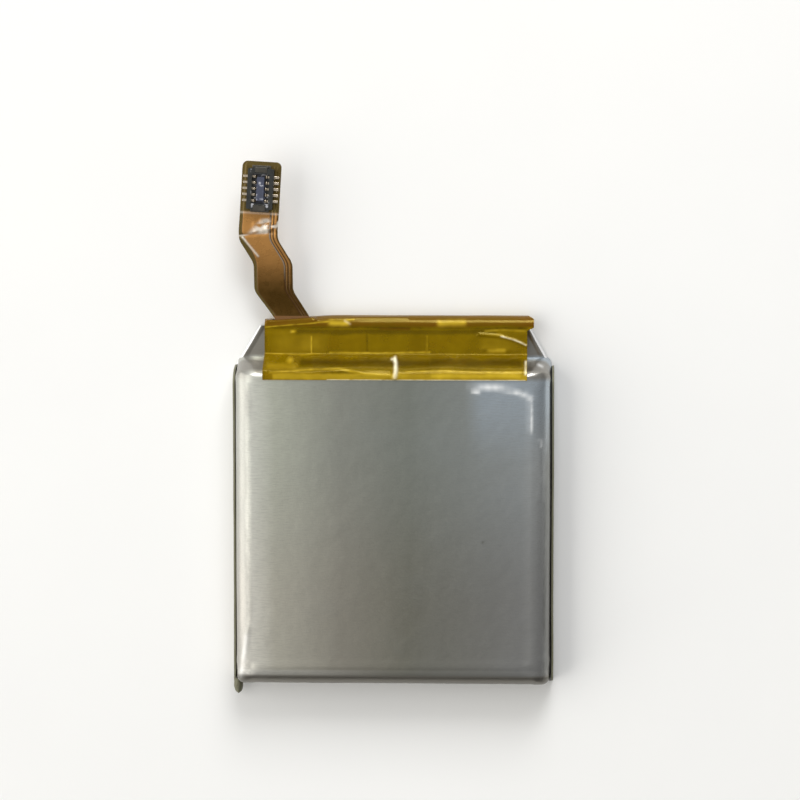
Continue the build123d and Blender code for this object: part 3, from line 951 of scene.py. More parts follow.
@dataclass
class PouchCup:
    """The drawn half of the pouch: a flat face, rounded shoulders and walls that lean out a little."""

    half_width: float = 11.9
    half_length: float = 12.1
    sides: tuple[CupSide, ...] = (
        CupSide(1.5, 1.35), CupSide(1.5, 1.46), CupSide(1.52, 0.7), CupSide(1.25, 1.22),
    )
    rim_radii: tuple[float, ...] = (0.8, 0.9, 1.0, 0.8)
    foot_radii: tuple[float, ...] = (0.35, 0.35, 0.6, 0.5)
    lower_reach: float = 0.62
    film: float = 0.11
    cell: float = 0.1
    cells_over: tuple[float, float] = (19.4, 19.8)
    turn_steps: int = 10
    arc_steps: int = 12
    wall_steps: int = 12
    ridges: tuple[Crease, ...] = (
        Crease(((5.7, 10.2), (8.0, 9.96), (9.5, 9.6), (10.25, 9.25), (10.38, 8.6), (10.4, 6.8)), 0.16, 0.03),
        Crease(((-11.0, -8.4), (-11.25, -10.2), (-11.5, -11.7)), 0.24, 0.05),
        Crease(((-10.4, -11.06), (-4.0, -11.1), (4.0, -11.04), (9.0, -11.1), (10.4, -10.9)), 0.16, 0.03),
        Crease(((11.0, 6.0), (11.15, 3.2), (11.05, 1.6)), 0.16, 0.04),
    )
    # Painted highlights: white glints along the creases and the face's edges.
    painted_glints: tuple[Streak, ...] = (
        Streak(((5.6, 10.22), (7.0, 10.1), (8.0, 9.97), (9.0, 9.8), (10.0, 9.4), (10.4, 9.0)), 0.11, 1.1),
        Streak(((8.0, 9.92), (9.4, 9.66), (10.3, 9.25)), 0.2, 1.0),
        Streak(((10.3, 9.3), (10.42, 8.2), (10.4, 6.6)), 0.11, 0.75),
        Streak(((5.95, 9.66), (6.5, 9.62)), 0.1, 0.8),
        Streak(((11.05, 6.1), (11.15, 5.6)), 0.07, 0.7),
        Streak(((11.1, 3.3), (11.1, 2.9)), 0.05, 0.4),
        Streak(((10.9, 11.6), (11.2, 11.5)), 0.09, 0.9),
        Streak(((-11.05, -8.9), (-11.25, -10.2), (-11.5, -11.9)), 0.2, 0.35),
    )
    pits: tuple[Streak, ...] = (Streak(((6.75, -1.63), (6.8, -1.6)), 0.075, 1.3),)

    def build(self, finish: bpy.types.Material) -> None:
        """Make the cup and let it stand for the CAD one.

        Args:
            finish: the laminate.
        """
        rings = [self._ring(0.0, reach) for reach in (0.0, 0.45, 0.85)]
        rings += [self._ring(step / self.arc_steps, 1.0) for step in range(self.arc_steps + 1)]
        rings += [self._ring(1 + step / self.wall_steps, 1.0) for step in range(1, self.wall_steps + 1)]
        grid, index = self._face_grid()
        flat = grid.reshape(-1, 3)
        vertices = np.concatenate([flat] + [points for points, _ in rings[1:]])
        level = np.tile([0.0, 0.0, 1.0], (len(flat), 1))
        normal = np.concatenate([level] + [normals for _, normals in rings[1:]])
        vertices = vertices + normal * self._relief(vertices)[:, None]
        around = len(rings[0][0])
        numbers = [self._boundary(index)]
        numbers += [len(flat) + ring * around + np.arange(around) for ring in range(len(rings) - 1)]
        faces = self._grid_faces(index)
        for inner, outer in zip(numbers[:-1], numbers[1:]):
            quads = zip(inner, np.roll(inner, -1), np.roll(outer, -1), outer)
            faces += [tuple(dict.fromkeys(int(number) for number in quad)) for quad in quads]
        piece = make_piece("pouch_cup_shell", vertices, faces, [finish], crisp=75.0)
        # Store the painted glints and the dark pit on the upper part.
        upper = vertices[:, 2] > 1.5
        for name, streaks in (("painted_glint", self.painted_glints), ("pit", self.pits)):
            store(piece, name, np.maximum.reduce([streak.cover(vertices) for streak in streaks]) * upper)
        wall = piece.modifiers.new("film", "SOLIDIFY")
        wall.thickness = self.film * MM
        wall.offset = -1.0
        settle(piece, "cell", "laminate", "pouch_cup")

    @property
    def top(self) -> float:
        """Return the face's height."""
        return float(node_box("pouch_cup")[1][2])

    def _counts(self) -> tuple[int, int]:
        """Return how many steps run along the width and the length."""
        return round(self.cells_over[0] / self.cell), round(self.cells_over[1] / self.cell)

    def _corners(self, share: float) -> tuple[np.ndarray, np.ndarray]:
        """Return the middles and the radii of the four rounded corners at a share of the profile.

        Args:
            share: how far down the profile, from 0 to 2.

        Returns:
            Four points in plan, and four radii.
        """
        low, right, high, left = (side.at(share)[0] for side in self.sides)
        down = min(share / 2, 1.0)
        pairs = zip(self.rim_radii, self.foot_radii)
        radii = np.array([rim + (foot - rim) * down for rim, foot in pairs])
        bottom = low - self.half_length - self.lower_reach
        outer = np.array([
            (left - self.half_width, bottom),
            (self.half_width - right, bottom),
            (self.half_width - right, self.half_length - high),
            (left - self.half_width, self.half_length - high),
        ])
        inward = np.array([(1, 1), (-1, 1), (-1, -1), (1, -1)])
        return outer + inward * radii[:, None], radii

    def _ring(self, share: float, reach: float) -> tuple[np.ndarray, np.ndarray]:
        """Return one ring of points round the cup.

        Args:
            share: how far down the profile it lies, from 0 at the rim to 2 at the foot.
            reach: 1, or less for a ring inside the rim.

        Returns:
            The points and their normals.
        """
        middles, radii = self._corners(share)
        depths = [side.at(share)[1] for side in self.sides]
        leans = [side.at(share)[2] for side in self.sides]
        points, normals = [], []
        for number in range(4):
            after = (number + 1) % 4
            steps = self._counts()[number % 2]
            angle = math.radians(-90 + 90 * number)
            spots = [(step / steps, 0.0) for step in range(steps)]
            spots += [(1.0, step / self.turn_steps) for step in range(self.turn_steps)]
            for along, turned in spots:
                bent = angle + math.pi / 2 * turned
                outward = np.array([math.cos(bent), math.sin(bent)])
                middle = middles[number] + (middles[after] - middles[number]) * along
                radius = radii[number] + (radii[after] - radii[number]) * along
                other = math.sin(math.pi / 2 * turned) ** 2
                depth = depths[number] + (depths[after] - depths[number]) * other
                lean = leans[number] + (leans[after] - leans[number]) * other
                points.append([*(middle + outward * radius * reach), self.top - depth])
                normals.append([*(outward * math.sin(lean)), math.cos(lean)])
        return np.array(points), np.array(normals)

    def _face_grid(self) -> tuple[np.ndarray, np.ndarray]:
        """Return the flat face's points and their numbers, row by row.

        Returns:
            The points, three numbers each, and a grid of their numbers.
        """
        across, along = self._counts()
        (low_left, low_right, high_right, high_left), _ = self._corners(0.0)
        u, v = np.meshgrid(np.linspace(0, 1, across + 1), np.linspace(0, 1, along + 1))
        u, v = u[..., None], v[..., None]
        low = low_left + (low_right - low_left) * u
        high = high_left + (high_right - high_left) * u
        points = np.concatenate([low + (high - low) * v, np.full_like(u, self.top)], axis=-1)
        return points, np.arange(u.size).reshape(u.shape[:2])

    def _boundary(self, index: np.ndarray) -> np.ndarray:
        """Return the numbers of the face's rim points, in step with a ring.

        Args:
            index: the face's grid of numbers.

        Returns:
            The numbers round the face, with each corner's repeated.
        """
        sides = [index[0, :-1], index[:-1, -1], index[-1, :0:-1], index[:0:-1, 0]]
        ends = [index[0, -1], index[-1, -1], index[-1, 0], index[0, 0]]
        return np.concatenate([
            np.concatenate([side, [end] * self.turn_steps]) for side, end in zip(sides, ends)
        ])

    @staticmethod
    def _grid_faces(index: np.ndarray) -> list[tuple[int, ...]]:
        """Return the flat face's quads.

        Args:
            index: the face's grid of numbers.

        Returns:
            Four numbers for each quad.
        """
        first, second = index[:-1, :-1].ravel(), index[:-1, 1:].ravel()
        third, fourth = index[1:, 1:].ravel(), index[1:, :-1].ravel()
        return [tuple(map(int, quad)) for quad in zip(first, second, third, fourth)]

    def _relief(self, points: np.ndarray) -> np.ndarray:
        """Return how far each point stands out: a slack film over a wound roll, with a few creases.

        Args:
            points: coordinates in millimetres.

        Returns:
            The height at each point, in millimetres.
        """
        x, y, z = points.T
        high = smooth_step(z, 0.2, 1.4)
        relief = 0.03 * lumps(points * [1.0, 0.6, 1.0], 5.0, 3.1) + 0.006 * lumps(points, 1.1, 8.4)
        crown = 0.05 * (1 - (x / self.half_width) ** 2) * (1 - (y / self.half_length) ** 2)
        relief += np.where(z > self.top - 0.01, crown, 0.0)
        corner = smooth_step(np.minimum(np.abs(x) - 9.6, np.abs(y) - 9.9), 0.0, 1.2)
        pleats = 0.03 * corner * np.sin(7.0 * np.arctan2(np.abs(y) - 10.2, np.abs(x) - 9.9))
        relief += pleats * (z < self.top - 0.15)
        for ridge in self.ridges:
            relief += ridge.height * np.exp(-((to_line(points, ridge.line) / ridge.width) ** 2)) * (z > 2.0)
        return relief * high


@dataclass
class FoldedSeal:
    """A side seal: two layers of laminate folded up against the wall, trimmed along the top."""

    side: Side
    height: float = 2.6
    thick: float = 0.14
    stand_off: float = 0.1
    below_ledge: float = 3.0
    step: float = 0.22

    def build(self, film: bpy.types.Material, cut_edge: bpy.types.Material) -> None:
        """Make the fold.

        Args:
            film: the laminate.
            cut_edge: the finish of its trimmed edges.
        """
        low, high = node_box("pouch_back")
        outer = self.side.value * (high[0] + self.stand_off)
        start, end = low[1], node_box("pouch_cup")[1][1] - self.below_ledge
        along = np.linspace(start, end, round((end - start) / self.step))
        rise = np.linspace(0.05, 1.0, 12)
        y, share = np.meshgrid(along, rise, indexing="ij")
        top = self._top(along, start, end)[:, None]
        z = share * top
        points = np.stack([np.full_like(y, outer), y, z], axis=-1)
        lean = 0.03 * lumps(points, 3.5, 5.0 + self.side.value) * share + 0.02 * share
        points[..., 0] -= self.side.value * np.maximum(lean, -0.03)
        inner = points.copy()
        inner[..., 0] -= self.side.value * self.thick
        name = f"folded_seal_{self.side.name.lower()}"
        settle(closed_sheet(name, points, inner, [film, cut_edge]), "cell", "laminate")

    def _top(self, along: np.ndarray, start: float, end: float) -> np.ndarray:
        """Return the fold's height along its length: trimmed a little unevenly, rounded at both ends.

        Args:
            along: places along Y.
            start: the lower end of the fold.
            end: its upper end.

        Returns:
            The height at each place.
        """
        points = np.stack([np.zeros_like(along), along, np.zeros_like(along)], axis=-1)
        trim = self.height + 0.05 * lumps(points, 2.8, 2.0 + self.side.value)
        lower = np.sqrt(np.clip(1 - ((start + 0.6 - along) / 0.6).clip(0, 1) ** 2, 0.0, 1.0))
        upper = np.sqrt(np.clip(1 - ((along - end + 1.3) / 1.3).clip(0, 1) ** 2, 0.0, 1.0))
        return trim * (0.35 + 0.65 * lower) * (0.15 + 0.85 * upper)


@dataclass
class PouchBack:
    """The flat half of the pouch, which climbs to the terminal ledge."""

    film: float = 0.11
    fold: tuple[float, float] = (10.7, 11.3)
    corner_left: tuple[float, float] = (-10.2, 11.5)
    corner_right: tuple[float, float] = (10.2, 11.2)
    ledge_raise: float = 0.12
    lip: float = 0.17
    step: float = 0.35
    lower: float = -12.7
    ear_root: tuple[float, float, float] = (-11.88, -12.4, 1.3)
    ear_size: tuple[float, float, float] = (0.34, 1.25, 0.16)

    def build(
        self, finish: bpy.types.Material, cut_edge: bpy.types.Material, lip_highlight: bpy.types.Material
    ) -> None:
        """Make the back sheet and the ledge above it.

        Args:
            finish: the laminate.
            cut_edge: the finish of its trimmed edges.
            lip_highlight: the finish of the ledge's lip, painted near white as a highlight.
        """
        side, end = node_box("pouch_back")[1][:2]
        along = np.concatenate([
            np.arange(self.lower, self.fold[0], self.step),
            np.arange(self.fold[0], end, 0.15),
            [end],
        ])
        left, right = self._edges(along, side, end)
        share = np.linspace(0.0, 1.0, 120)
        share = share - np.sin(2 * math.pi * share) * 0.13
        x = left[:, None] + (right - left)[:, None] * share
        y = np.repeat(along[:, None], len(share), axis=1)
        climb = self.ledge_raise * smooth_step(y, *self.fold)
        grid = np.stack([x, y, climb], axis=-1)
        upper = grid + [0.0, 0.0, self.film]
        sheet = closed_sheet("pouch_back_sheet", upper, grid, [finish, cut_edge])
        settle(sheet, "cell", "laminate", "pouch_back")
        self._ledge(along, x, y, finish, lip_highlight)

    def _edges(self, along: np.ndarray, side: float, end: float) -> tuple[np.ndarray, np.ndarray]:
        """Return the left and right edges, with the ledge's trimmed corners.

        Args:
            along: places along Y.
            side: half the width.
            end: the ledge's outer edge.

        Returns:
            The two edges at each place.
        """
        left_x, left_y = self.corner_left
        right_x, right_y = self.corner_right
        left = -side + (side + left_x) * np.clip((along - left_y) / (end - left_y), 0, 1)
        right = side + (right_x - side) * np.clip((along - right_y) / (end - right_y), 0, 1)
        return left, right

    def _ledge(
        self,
        along: np.ndarray,
        x: np.ndarray,
        y: np.ndarray,
        finish: bpy.types.Material,
        lip_highlight: bpy.types.Material,
    ) -> None:
        """Make the ledge: the drawn half's flange, pressed flat, with a slanting lip where it's cut.

        Args:
            along: places along Y, one for each row.
            x: the rows of X.
            y: the rows of Y.
            finish: the laminate.
            lip_highlight: the finish of the ledge's lip, painted near white as a highlight.
        """
        rows = along > self.fold[1]
        x, y = x[rows], y[rows]
        base = self.ledge_raise + self.film + 0.004
        edge = np.minimum(x - x.min(axis=1)[:, None], x.max(axis=1)[:, None] - x)
        curl = 0.05 * smooth_step(edge, 0.45, 0.05) * smooth_step(y, 11.7, 12.3)
        sleeves = sum(
            smooth_step(np.abs(x - np.mean(node_box(f"{pole}_tab_sealant"), axis=0)[0]), 2.2, 1.7)
            for pole in ("positive", "negative")
        )
        pressed = 0.014 * lumps(np.stack([x, y, y * 0], axis=-1), 0.8, 1.7)
        crown = 0.14 * sleeves + np.where(sleeves > 0.01, 0.0, pressed) + curl
        low = np.stack([x, y, np.full_like(x, base) + curl * 0.7], axis=-1)
        middle = (x.min(axis=1) + x.max(axis=1))[:, None] / 2
        drawn_in = np.clip((np.abs(x - middle) - 9.0) / 2.0, 0.0, 1.0) * np.sign(x - middle) * self.lip
        top = np.stack([x - drawn_in, y, base + self.film + crown], axis=-1)
        settle(closed_sheet("terminal_ledge", top, low, [finish, lip_highlight]), "cell", "laminate")

    def build_ear(self, cut_edge: bpy.types.Material) -> None:
        """Make the small point of trimmed film that is left at the lower left corner.

        Args:
            cut_edge: the finish of trimmed edges.
        """
        root_x, root_y, height = self.ear_root
        half, length, thick = self.ear_size
        u, v = np.meshgrid(np.linspace(-1, 1, 15), np.linspace(0, 1, 15))
        x = root_x + half * u * np.sqrt(1.0 - 0.97 * v ** 5)
        sheet = np.stack([x, root_y - length * v, height - 0.3 * u ** 2 - 0.2 * v], axis=-1)
        sheet[..., 2] += 0.12 * lumps(sheet, 0.4, 1.3)
        lower = sheet - [0.0, 0.0, thick]
        settle(closed_sheet("corner_ear", sheet, lower, [cut_edge]), "cell", "laminate")


# The tape -------------------------------------------------------------------------------------------


@dataclass(frozen=True)
class Patch:
    """An area of the tape, in plan, whose tone changes: by what lies under it, and by painted light and shade
    where it bends.
    """

    left: float
    right: float
    low: float
    high: float
    strength: float
    soft: float = 0.14

    def cover(self, points: np.ndarray) -> np.ndarray:
        """Return the patch's strength at some points, fading out across its wavering border.

        Args:
            points: coordinates in millimetres, three to a point.

        Returns:
            The strength at each point.
        """
        soft = self.soft
        wander = 0.09 * lumps(points * [1.0, 0.3, 0.0], 2.3, 2.7)
        wander += 0.05 * lumps(points * [1.0, 1.0, 0.0], 0.5, 1.1)
        x, y = points[..., 0] + wander, points[..., 1] + wander
        across = smooth_step(x, self.left - soft, self.left + soft)
        across = across * smooth_step(x, self.right + soft, self.right - soft)
        along = smooth_step(y, self.low - soft, self.low + soft)
        return self.strength * across * along * smooth_step(y, self.high + soft, self.high - soft)


@dataclass
class LedgeTape:
    """One turn of polyimide tape over the board, with the creases that wrapping leaves in it."""

    film: float = 0.05
    clear: float = 0.03
    step: float = 0.07
    rows: int = 190
    sag: float = 0.3
    overhang: float = 0.5
    tones: dict[str, tuple[Patch | Streak, ...]] = field(default_factory=lambda: {
        "rust": (
            Patch(-12.0, 12.0, 14.4, 15.6, 0.85),
            Patch(-1.1, 1.3, 14.15, 14.4, 0.9, 0.1),
        ),
        # Painted highlights and reflections where the tape bends, and in places the tint of the metal under
        # it.
        "gold": (
            Patch(-4.9, -3.35, 14.5, 14.85, 0.62, 0.2),
            Patch(3.3, 5.4, 14.5, 14.85, 0.5, 0.22),
            Patch(-8.9, -5.1, 12.3, 13.9, 0.12, 0.5),
            Patch(-7.2, -5.4, 12.5, 13.7, 0.2, 0.5),
            Patch(6.6, 9.4, 12.5, 13.7, 0.1, 0.5),
            Patch(-7.95, -7.55, 11.62, 11.95, 0.8, 0.25),
            Patch(7.0, 8.4, 12.45, 12.7, 0.7, 0.2),
            Patch(-9.5, -7.2, 11.3, 11.6, 0.3, 0.2),
            Patch(-9.0, 10.5, 10.6, 11.02, 0.42, 0.12),
            Patch(2.8, 9.7, 10.66, 11.05, 0.62, 0.2),
            Patch(-7.75, -7.45, 13.95, 14.08, 0.8, 0.12),
            Streak(((-6.2, 12.4), (-6.2, 13.65)), 0.06, 0.9),
            Streak(((-4.8, 12.45), (-1.2, 12.42), (2.7, 12.5)), 0.07, 0.7),
            Streak(((2.5, 12.6), (2.52, 13.7)), 0.05, 0.35),
            Streak(((6.9, 14.1), (8.2, 14.2), (9.9, 14.1)), 0.09, 0.4),
            Streak(((-9.6, 12.3), (-6.8, 12.2), (-5.6, 12.35)), 0.07, 0.4),
            Streak(((-9.7, 14.35), (-8.3, 14.48), (-5.6, 14.7), (-3.0, 14.88)), 0.05, 0.6),
            Streak(((-9.2, 11.05), (-6.4, 11.25), (-4.0, 11.3), (-2.2, 11.0), (-0.5, 10.95)), 0.07, 0.5),
            Streak(((1.0, 11.15), (4.0, 11.2), (6.6, 11.1), (9.6, 11.15)), 0.06, 0.5),
        ),
        "shadow": (
            Patch(-7.3, 7.7, 13.85, 14.2, 0.5, 0.12),
            Patch(-7.0, 9.7, 11.5, 11.95, 0.7, 0.2),
            Streak(((-6.8, 11.7), (-4.6, 11.85), (-2.2, 11.8), (-0.2, 11.75)), 0.16, 0.6),
            Streak(((0.8, 11.55), (3.0, 11.85), (5.6, 11.9), (8.0, 11.65), (9.8, 11.75)), 0.16, 0.7),
            Streak(((-5.4, 11.0), (-3.8, 11.12), (-2.6, 10.85), (-1.0, 10.8)), 0.08, 0.4),
            Streak(((-1.1, 14.33), (1.2, 14.32)), 0.08, 0.8),
            Streak(((-9.0, 14.27), (-3.0, 14.36), (3.0, 14.3), (10.0, 14.3)), 0.07, 0.55),
            Streak(((7.7, 14.3), (9.6, 14.32)), 0.08, 0.8),
            Streak(((-2.0, 12.55), (-2.02, 14.0)), 0.05, 0.7),
            Streak(((-9.7, 10.6), (-9.7, 14.2)), 0.15, 0.35),
        ),
        # Painted glare on the creases and a painted highlight along the lower edge.
        "white": (
            Streak(((0.08, 11.95), (0.22, 11.6), (0.25, 11.2), (0.18, 10.75)), 0.13, 1.3),
            Streak(((-0.1, 11.95), (0.15, 11.9)), 0.09, 0.9),
            Streak(((-4.9, 10.56), (0.6, 10.56), (5.0, 10.56), (9.9, 10.56)), 0.035, 0.9),
            Streak(((9.95, 11.0), (9.95, 11.8)), 0.08, 0.7),
            Streak(((8.1, 13.72), (8.9, 13.5), (9.5, 13.28), (9.95, 13.05)), 0.06, 0.8),
            Streak(((-3.7, 14.8), (-3.3, 14.6)), 0.07, 0.4),
        ),
    })
    creases: tuple[Crease, ...] = (
        Crease(((-9.8, 14.35), (-7.6, 14.6), (-5.4, 14.85), (-2.8, 14.98), (1.0, 15.02)), 0.11, 0.05),
        Crease(((6.4, 13.85), (8.1, 13.7), (9.2, 13.4), (10.1, 12.95)), 0.13, 0.09),
        Crease(((-6.2, 13.7), (-6.2, 12.5)), 0.07, 0.035),
        Crease(((2.52, 13.8), (2.52, 12.6)), 0.06, 0.02),
        Crease(((-2.0, 13.9), (-2.0, 12.5)), 0.06, -0.03),
        Crease(((0.15, 12.1), (0.2, 11.4), (0.18, 10.7)), 0.16, 0.12),
        Crease(((-8.0, 11.85), (-7.6, 11.7)), 0.3, 0.09),
        Crease(((6.8, 12.75), (8.6, 12.65)), 0.22, 0.07),
        Crease(((-7.0, 11.7), (-4.6, 11.9), (-2.2, 11.8), (-0.2, 11.75)), 0.3, -0.05),
        Crease(((0.8, 11.55), (3.0, 11.9), (5.6, 11.95), (8.0, 11.65), (9.8, 11.75)), 0.3, -0.05),
        Crease(((-9.8, 11.2), (-6.5, 11.05), (-3.2, 11.3), (-2.0, 10.95), (0.0, 10.8)), 0.16, 0.05),
        Crease(((-7.6, 14.02), (-7.4, 14.0)), 0.16, 0.06),
    )

    def build(self, finish: bpy.types.Material) -> None:
        """Make the tape and let it stand for the CAD one.

        Args:
            finish: the tape.
        """
        low, high = node_box("polyimide_tape")
        wide, tight = (self._path(low, high, turn) for turn in (0.7, 0.16))
        across = np.linspace(low[0], high[0], 230)
        tail_right = node_box("flex_bend_lower")[1][0]
        start, end = tail_right - 3.1, tail_right + 0.3
        over_tail = smooth_step(across, start - 0.4, start) * smooth_step(across, end + 0.4, end)
        line = wide[:, None] + (tight - wide)[:, None] * over_tail[:, None]
        sag = self.sag * smooth_step(across, -4.2, -9.5)
        line[..., 0] -= sag * smooth_step(line[..., 0], 13.9, 15.1)
        outer_wrap = smooth_step(line[..., 0], 14.1, 14.4) * smooth_step(line[..., 0], 15.25, 14.85)
        outer_wrap = outer_wrap * smooth_step(across, 9.0, 10.05)
        x = across + self.overhang * outer_wrap
        points = np.concatenate([x[..., None], line], axis=-1)
        normals = path_normals(wide)
        outward = np.zeros_like(points)
        outward[..., 1:] = normals[:, None]
        inner = points + outward * self._relief(points)[..., None]
        outer = inner + outward * self.film
        tones = {name: self._tone(points, patches) for name, patches in self.tones.items()}
        piece = closed_sheet("ledge_tape", outer, inner, [finish], self._slit(points), tones, 60.0)
        settle(piece, "cell", "amber_tape", "polyimide_tape")

    @staticmethod
    def _tone(points: np.ndarray, patches: Sequence[Patch | Streak]) -> np.ndarray:
        """Return how strongly some patches show at each point; none show on the underside."""
        tone = np.maximum.reduce([patch.cover(points) for patch in patches])
        return tone * smooth_step(points[..., 2], 0.7, 0.9)

    def _path(self, low: np.ndarray, high: np.ndarray, turn: float) -> np.ndarray:
        """Return the tape's inner line in the YZ plane, from the face to the underside.

        Args:
            low: the lowest corner of the CAD tape.
            high: its highest corner.
            turn: the radius round the board's outer edge.

        Returns:
            A fixed number of points, two numbers each.
        """
        face = high[2] - 0.045
        over_board = node_box("weld_pads")[1][2] + 0.07 + self.clear
        outer, under = high[1] - 0.055, low[2] + 0.055
        corners = [
            (low[1], face), (low[1] + 0.66, face), (low[1] + 1.72, over_board),
            (outer, over_board), (outer, under), (12.3, under),
        ]
        path = rounded_path(corners, [0.75, 0.3, turn, turn], self.step / 2)
        lengths = np.concatenate([[0.0], np.cumsum(np.linalg.norm(np.diff(path, axis=0), axis=1))])
        stations = np.linspace(0.0, lengths[-1], self.rows)
        return np.stack([np.interp(stations, lengths, path[:, axis]) for axis in range(2)], axis=1)

    def _relief(self, points: np.ndarray) -> np.ndarray:
        """Return how far the tape stands off its line.

        Args:
            points: coordinates in millimetres.

        Returns:
            The distance at each point.
        """
        y, z = points[..., 1], points[..., 2]
        upper = smooth_step(z, 0.9, 1.3)
        wall = smooth_step(z, 1.45, 1.9) * smooth_step(z, 3.85, 3.3)
        relief = 0.02 + 0.012 * lumps(points * [0.6, 1.0, 1.0], 1.3, 4.2)
        relief += wall * 0.09 * (0.6 + lumps(points * [0.4, 0.0, 0.12], 1.2, 9.3))
        gap = smooth_step(y, 13.8, 14.1) * smooth_step(y, 14.6, 14.3)
        relief -= 0.035 * gap * upper
        for crease in self.creases:
            away = to_line(points, crease.line) / crease.width
            relief += upper * crease.height * np.exp(-(away ** 2))
        return np.maximum(relief, -0.04)

    @staticmethod
    def _slit(points: np.ndarray) -> np.ndarray:
        """Return which cells are kept: all but the slit that the flexible tail passes through.

        Args:
            points: the grid of points.

        Returns:
            A grid of cells, true where the film is.
        """
        low, high = node_box("flex_bend_lower")
        middle = (points[:-1, :-1] + points[1:, 1:]) / 2
        left, right = high[0] - 2.82, high[0] + 0.1
        beside = (middle[..., 0] > left) & (middle[..., 0] < right)
        level = (middle[..., 2] > low[2] - 0.03) & (middle[..., 2] < low[2] + 0.17)
        return ~(beside & level & (middle[..., 1] > 14.6))


# The flexible circuit -------------------------------------------------------------------------------


@dataclass
class FlexTail:
    """The flexible circuit's free part: one strip that jogs sideways twice, rises and ends in the head."""

    width: float = 2.92
    root: tuple[float, float] = (-8.95, -6.25)
    middle_left: float = -10.5
    tip_left: float = -11.57
    jog_low: tuple[float, float] = (14.95, 17.1)
    jog_high: tuple[float, float] = (19.2, 21.0)
    bend_low: float = 15.7
    bend_high: float = 21.5
    bend_half: float = 0.5
    ease: float = 0.38
    head_turn: float = math.radians(-3.5)
    head_corner: float = 0.4
    thick: float = 0.125
    step: float = 0.06
    tracks: tuple[tuple[float, float], ...] = ((0.085, 0.78), (0.83, 0.872), (0.905, 0.962))
    columns: int = 74

    def build(self, finish: bpy.types.Material) -> None:
        """Make the lower and the upper half of the strip.

        Args:
            finish: the cover film over its copper.
        """
        start = self.bend_low - self.bend_half
        middle = (self.jog_low[1] + self.jog_high[0]) / 2
        end = self.bend_high + self._head_length()
        lower = self._strip("flex_strip_lower", np.arange(start, middle, self.step), middle, finish)
        self._cross(lower)
        settle(
            lower, "", "flex_film",
            "flex_bend_lower", "flex_base_tail", "flex_traces_tail", "flex_cover_tail",
        )
        upper = self._strip("flex_strip_upper", np.arange(middle, end, self.step), end, finish)
        self._cross(upper)
        settle(
            upper, "", "flex_film",
            "flex_bend_upper", "flex_base_head", "flex_traces_head", "flex_cover_head",
        )

    def _head_length(self) -> float:
        """Return how far the head reaches past its bend line."""
        tip = node_box("flex_base_head")[1][1]
        return (tip - self.bend_high - 0.09) / math.cos(self.head_turn)

    def _cross(self, strip: bpy.types.Object) -> None:
        """Bake a strip's placement into its mesh.

        Args:
            strip: the strip.
        """
        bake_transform(strip)

    def _height(self, along: np.ndarray) -> np.ndarray:
        """Return the height of the strip's underside.

        Args:
            along: places along Y.

        Returns:
            The height at each place.
        """
        low = node_box("flex_base_root")[0][2]
        high = node_box("flex_base_head")[0][2]
        return low + (high - low) * eased_ramp(along, self.bend_low, self.bend_high, self.ease)

    def _edges(self, along: np.ndarray) -> tuple[np.ndarray, np.ndarray]:
        """Return the strip's left and right edges, before the head's turn.

        Args:
            along: places along Y.

        Returns:
            The two edges at each place.
        """
        first = eased_ramp(along, *self.jog_low, 0.3)
        second = eased_ramp(along, *self.jog_high, 0.3)
        left = self.root[0] + (self.middle_left - self.root[0]) * first
        left = left + (self.tip_left - self.middle_left) * second
        wide = (self.root[1] - self.root[0]) * (1 - first) + self.width * first
        return left, left + wide

    def _copper(self, share: np.ndarray) -> np.ndarray:
        """Return 1 over a copper track and 0 beside it.

        Args:
            share: places across the strip, from 0 to 1.

        Returns:
            The cover at each place.
        """
        soft = 0.008
        covers = [
            smooth_step(share, low - soft, low + soft) * smooth_step(share, high + soft, high - soft)
            for low, high in self.tracks
        ]
        return np.maximum.reduce(covers)

    def _strip(
        self, name: str, stations: np.ndarray, end: float, finish: bpy.types.Material
    ) -> bpy.types.Object:
        """Make one stretch of the strip.

        Args:
            name: the piece's name.
            stations: places along Y.
            end: where it ends, along Y.
            finish: the cover film.

        Returns:
            The piece.
        """
        tip = self.bend_high + self._head_length()
        fine = tip - self.head_corner * (1 - np.sin(np.linspace(0, math.pi / 2, 9)[1:]))
        stations = stations[stations < end - 0.03]
        if end == tip:
            stations = np.concatenate([stations[stations < tip - self.head_corner], fine])
        else:
            stations = np.append(stations, end)
        share = np.linspace(0.0, 1.0, self.columns)
        along, across = np.meshgrid(stations, share, indexing="ij")
        left, right = (edge[:, None] for edge in self._edges(stations))
        nose = np.clip((stations - (tip - self.head_corner)) / self.head_corner, 0.0, 1.0)[:, None]
        tuck = self.head_corner * (1 - np.sqrt(1 - nose ** 2))
        x = (left + tuck) + (right - left - 2 * tuck) * across
        bottom = np.stack([x, along, np.broadcast_to(self._height(stations)[:, None], x.shape)], axis=-1)
        inset = self._inset(along)
        copper = self._copper(across) * (nose < 0.2) * smooth_step(across, inset, inset + 0.016)
        rise = self.thick - 0.026 * (1 - copper) - 0.02 * self._margin(across, along)
        top = bottom + np.stack([np.zeros_like(x), np.zeros_like(x), rise], axis=-1)
        bottom[..., 2] += self._crumple(bottom)
        top[..., 2] += self._crumple(top)
        tones = {
            "along": along,
            "copper": copper,
            "margin": np.maximum(self._margin(across, along), smooth_step(along, 23.0, 23.15)),
            "white": self._painted_highlights(bottom, across),
        }
        return closed_sheet(name, self._turned(top), self._turned(bottom), [finish], tones=tones)

    @staticmethod
    def _inset(along: np.ndarray) -> np.ndarray:
        """Return where the copper starts, as a share of the width: further in at the upper jog."""
        return 0.085 + 0.065 * smooth_step(along, 19.0, 20.2) * smooth_step(along, 21.6, 21.1)

    def _margin(self, share: np.ndarray, along: np.ndarray) -> np.ndarray:
        """Return 1 along both edges, where the films meet with no copper between them."""
        inset = self._inset(along)
        return np.maximum(smooth_step(share, inset, inset - 0.02), smooth_step(share, 0.975, 0.99))

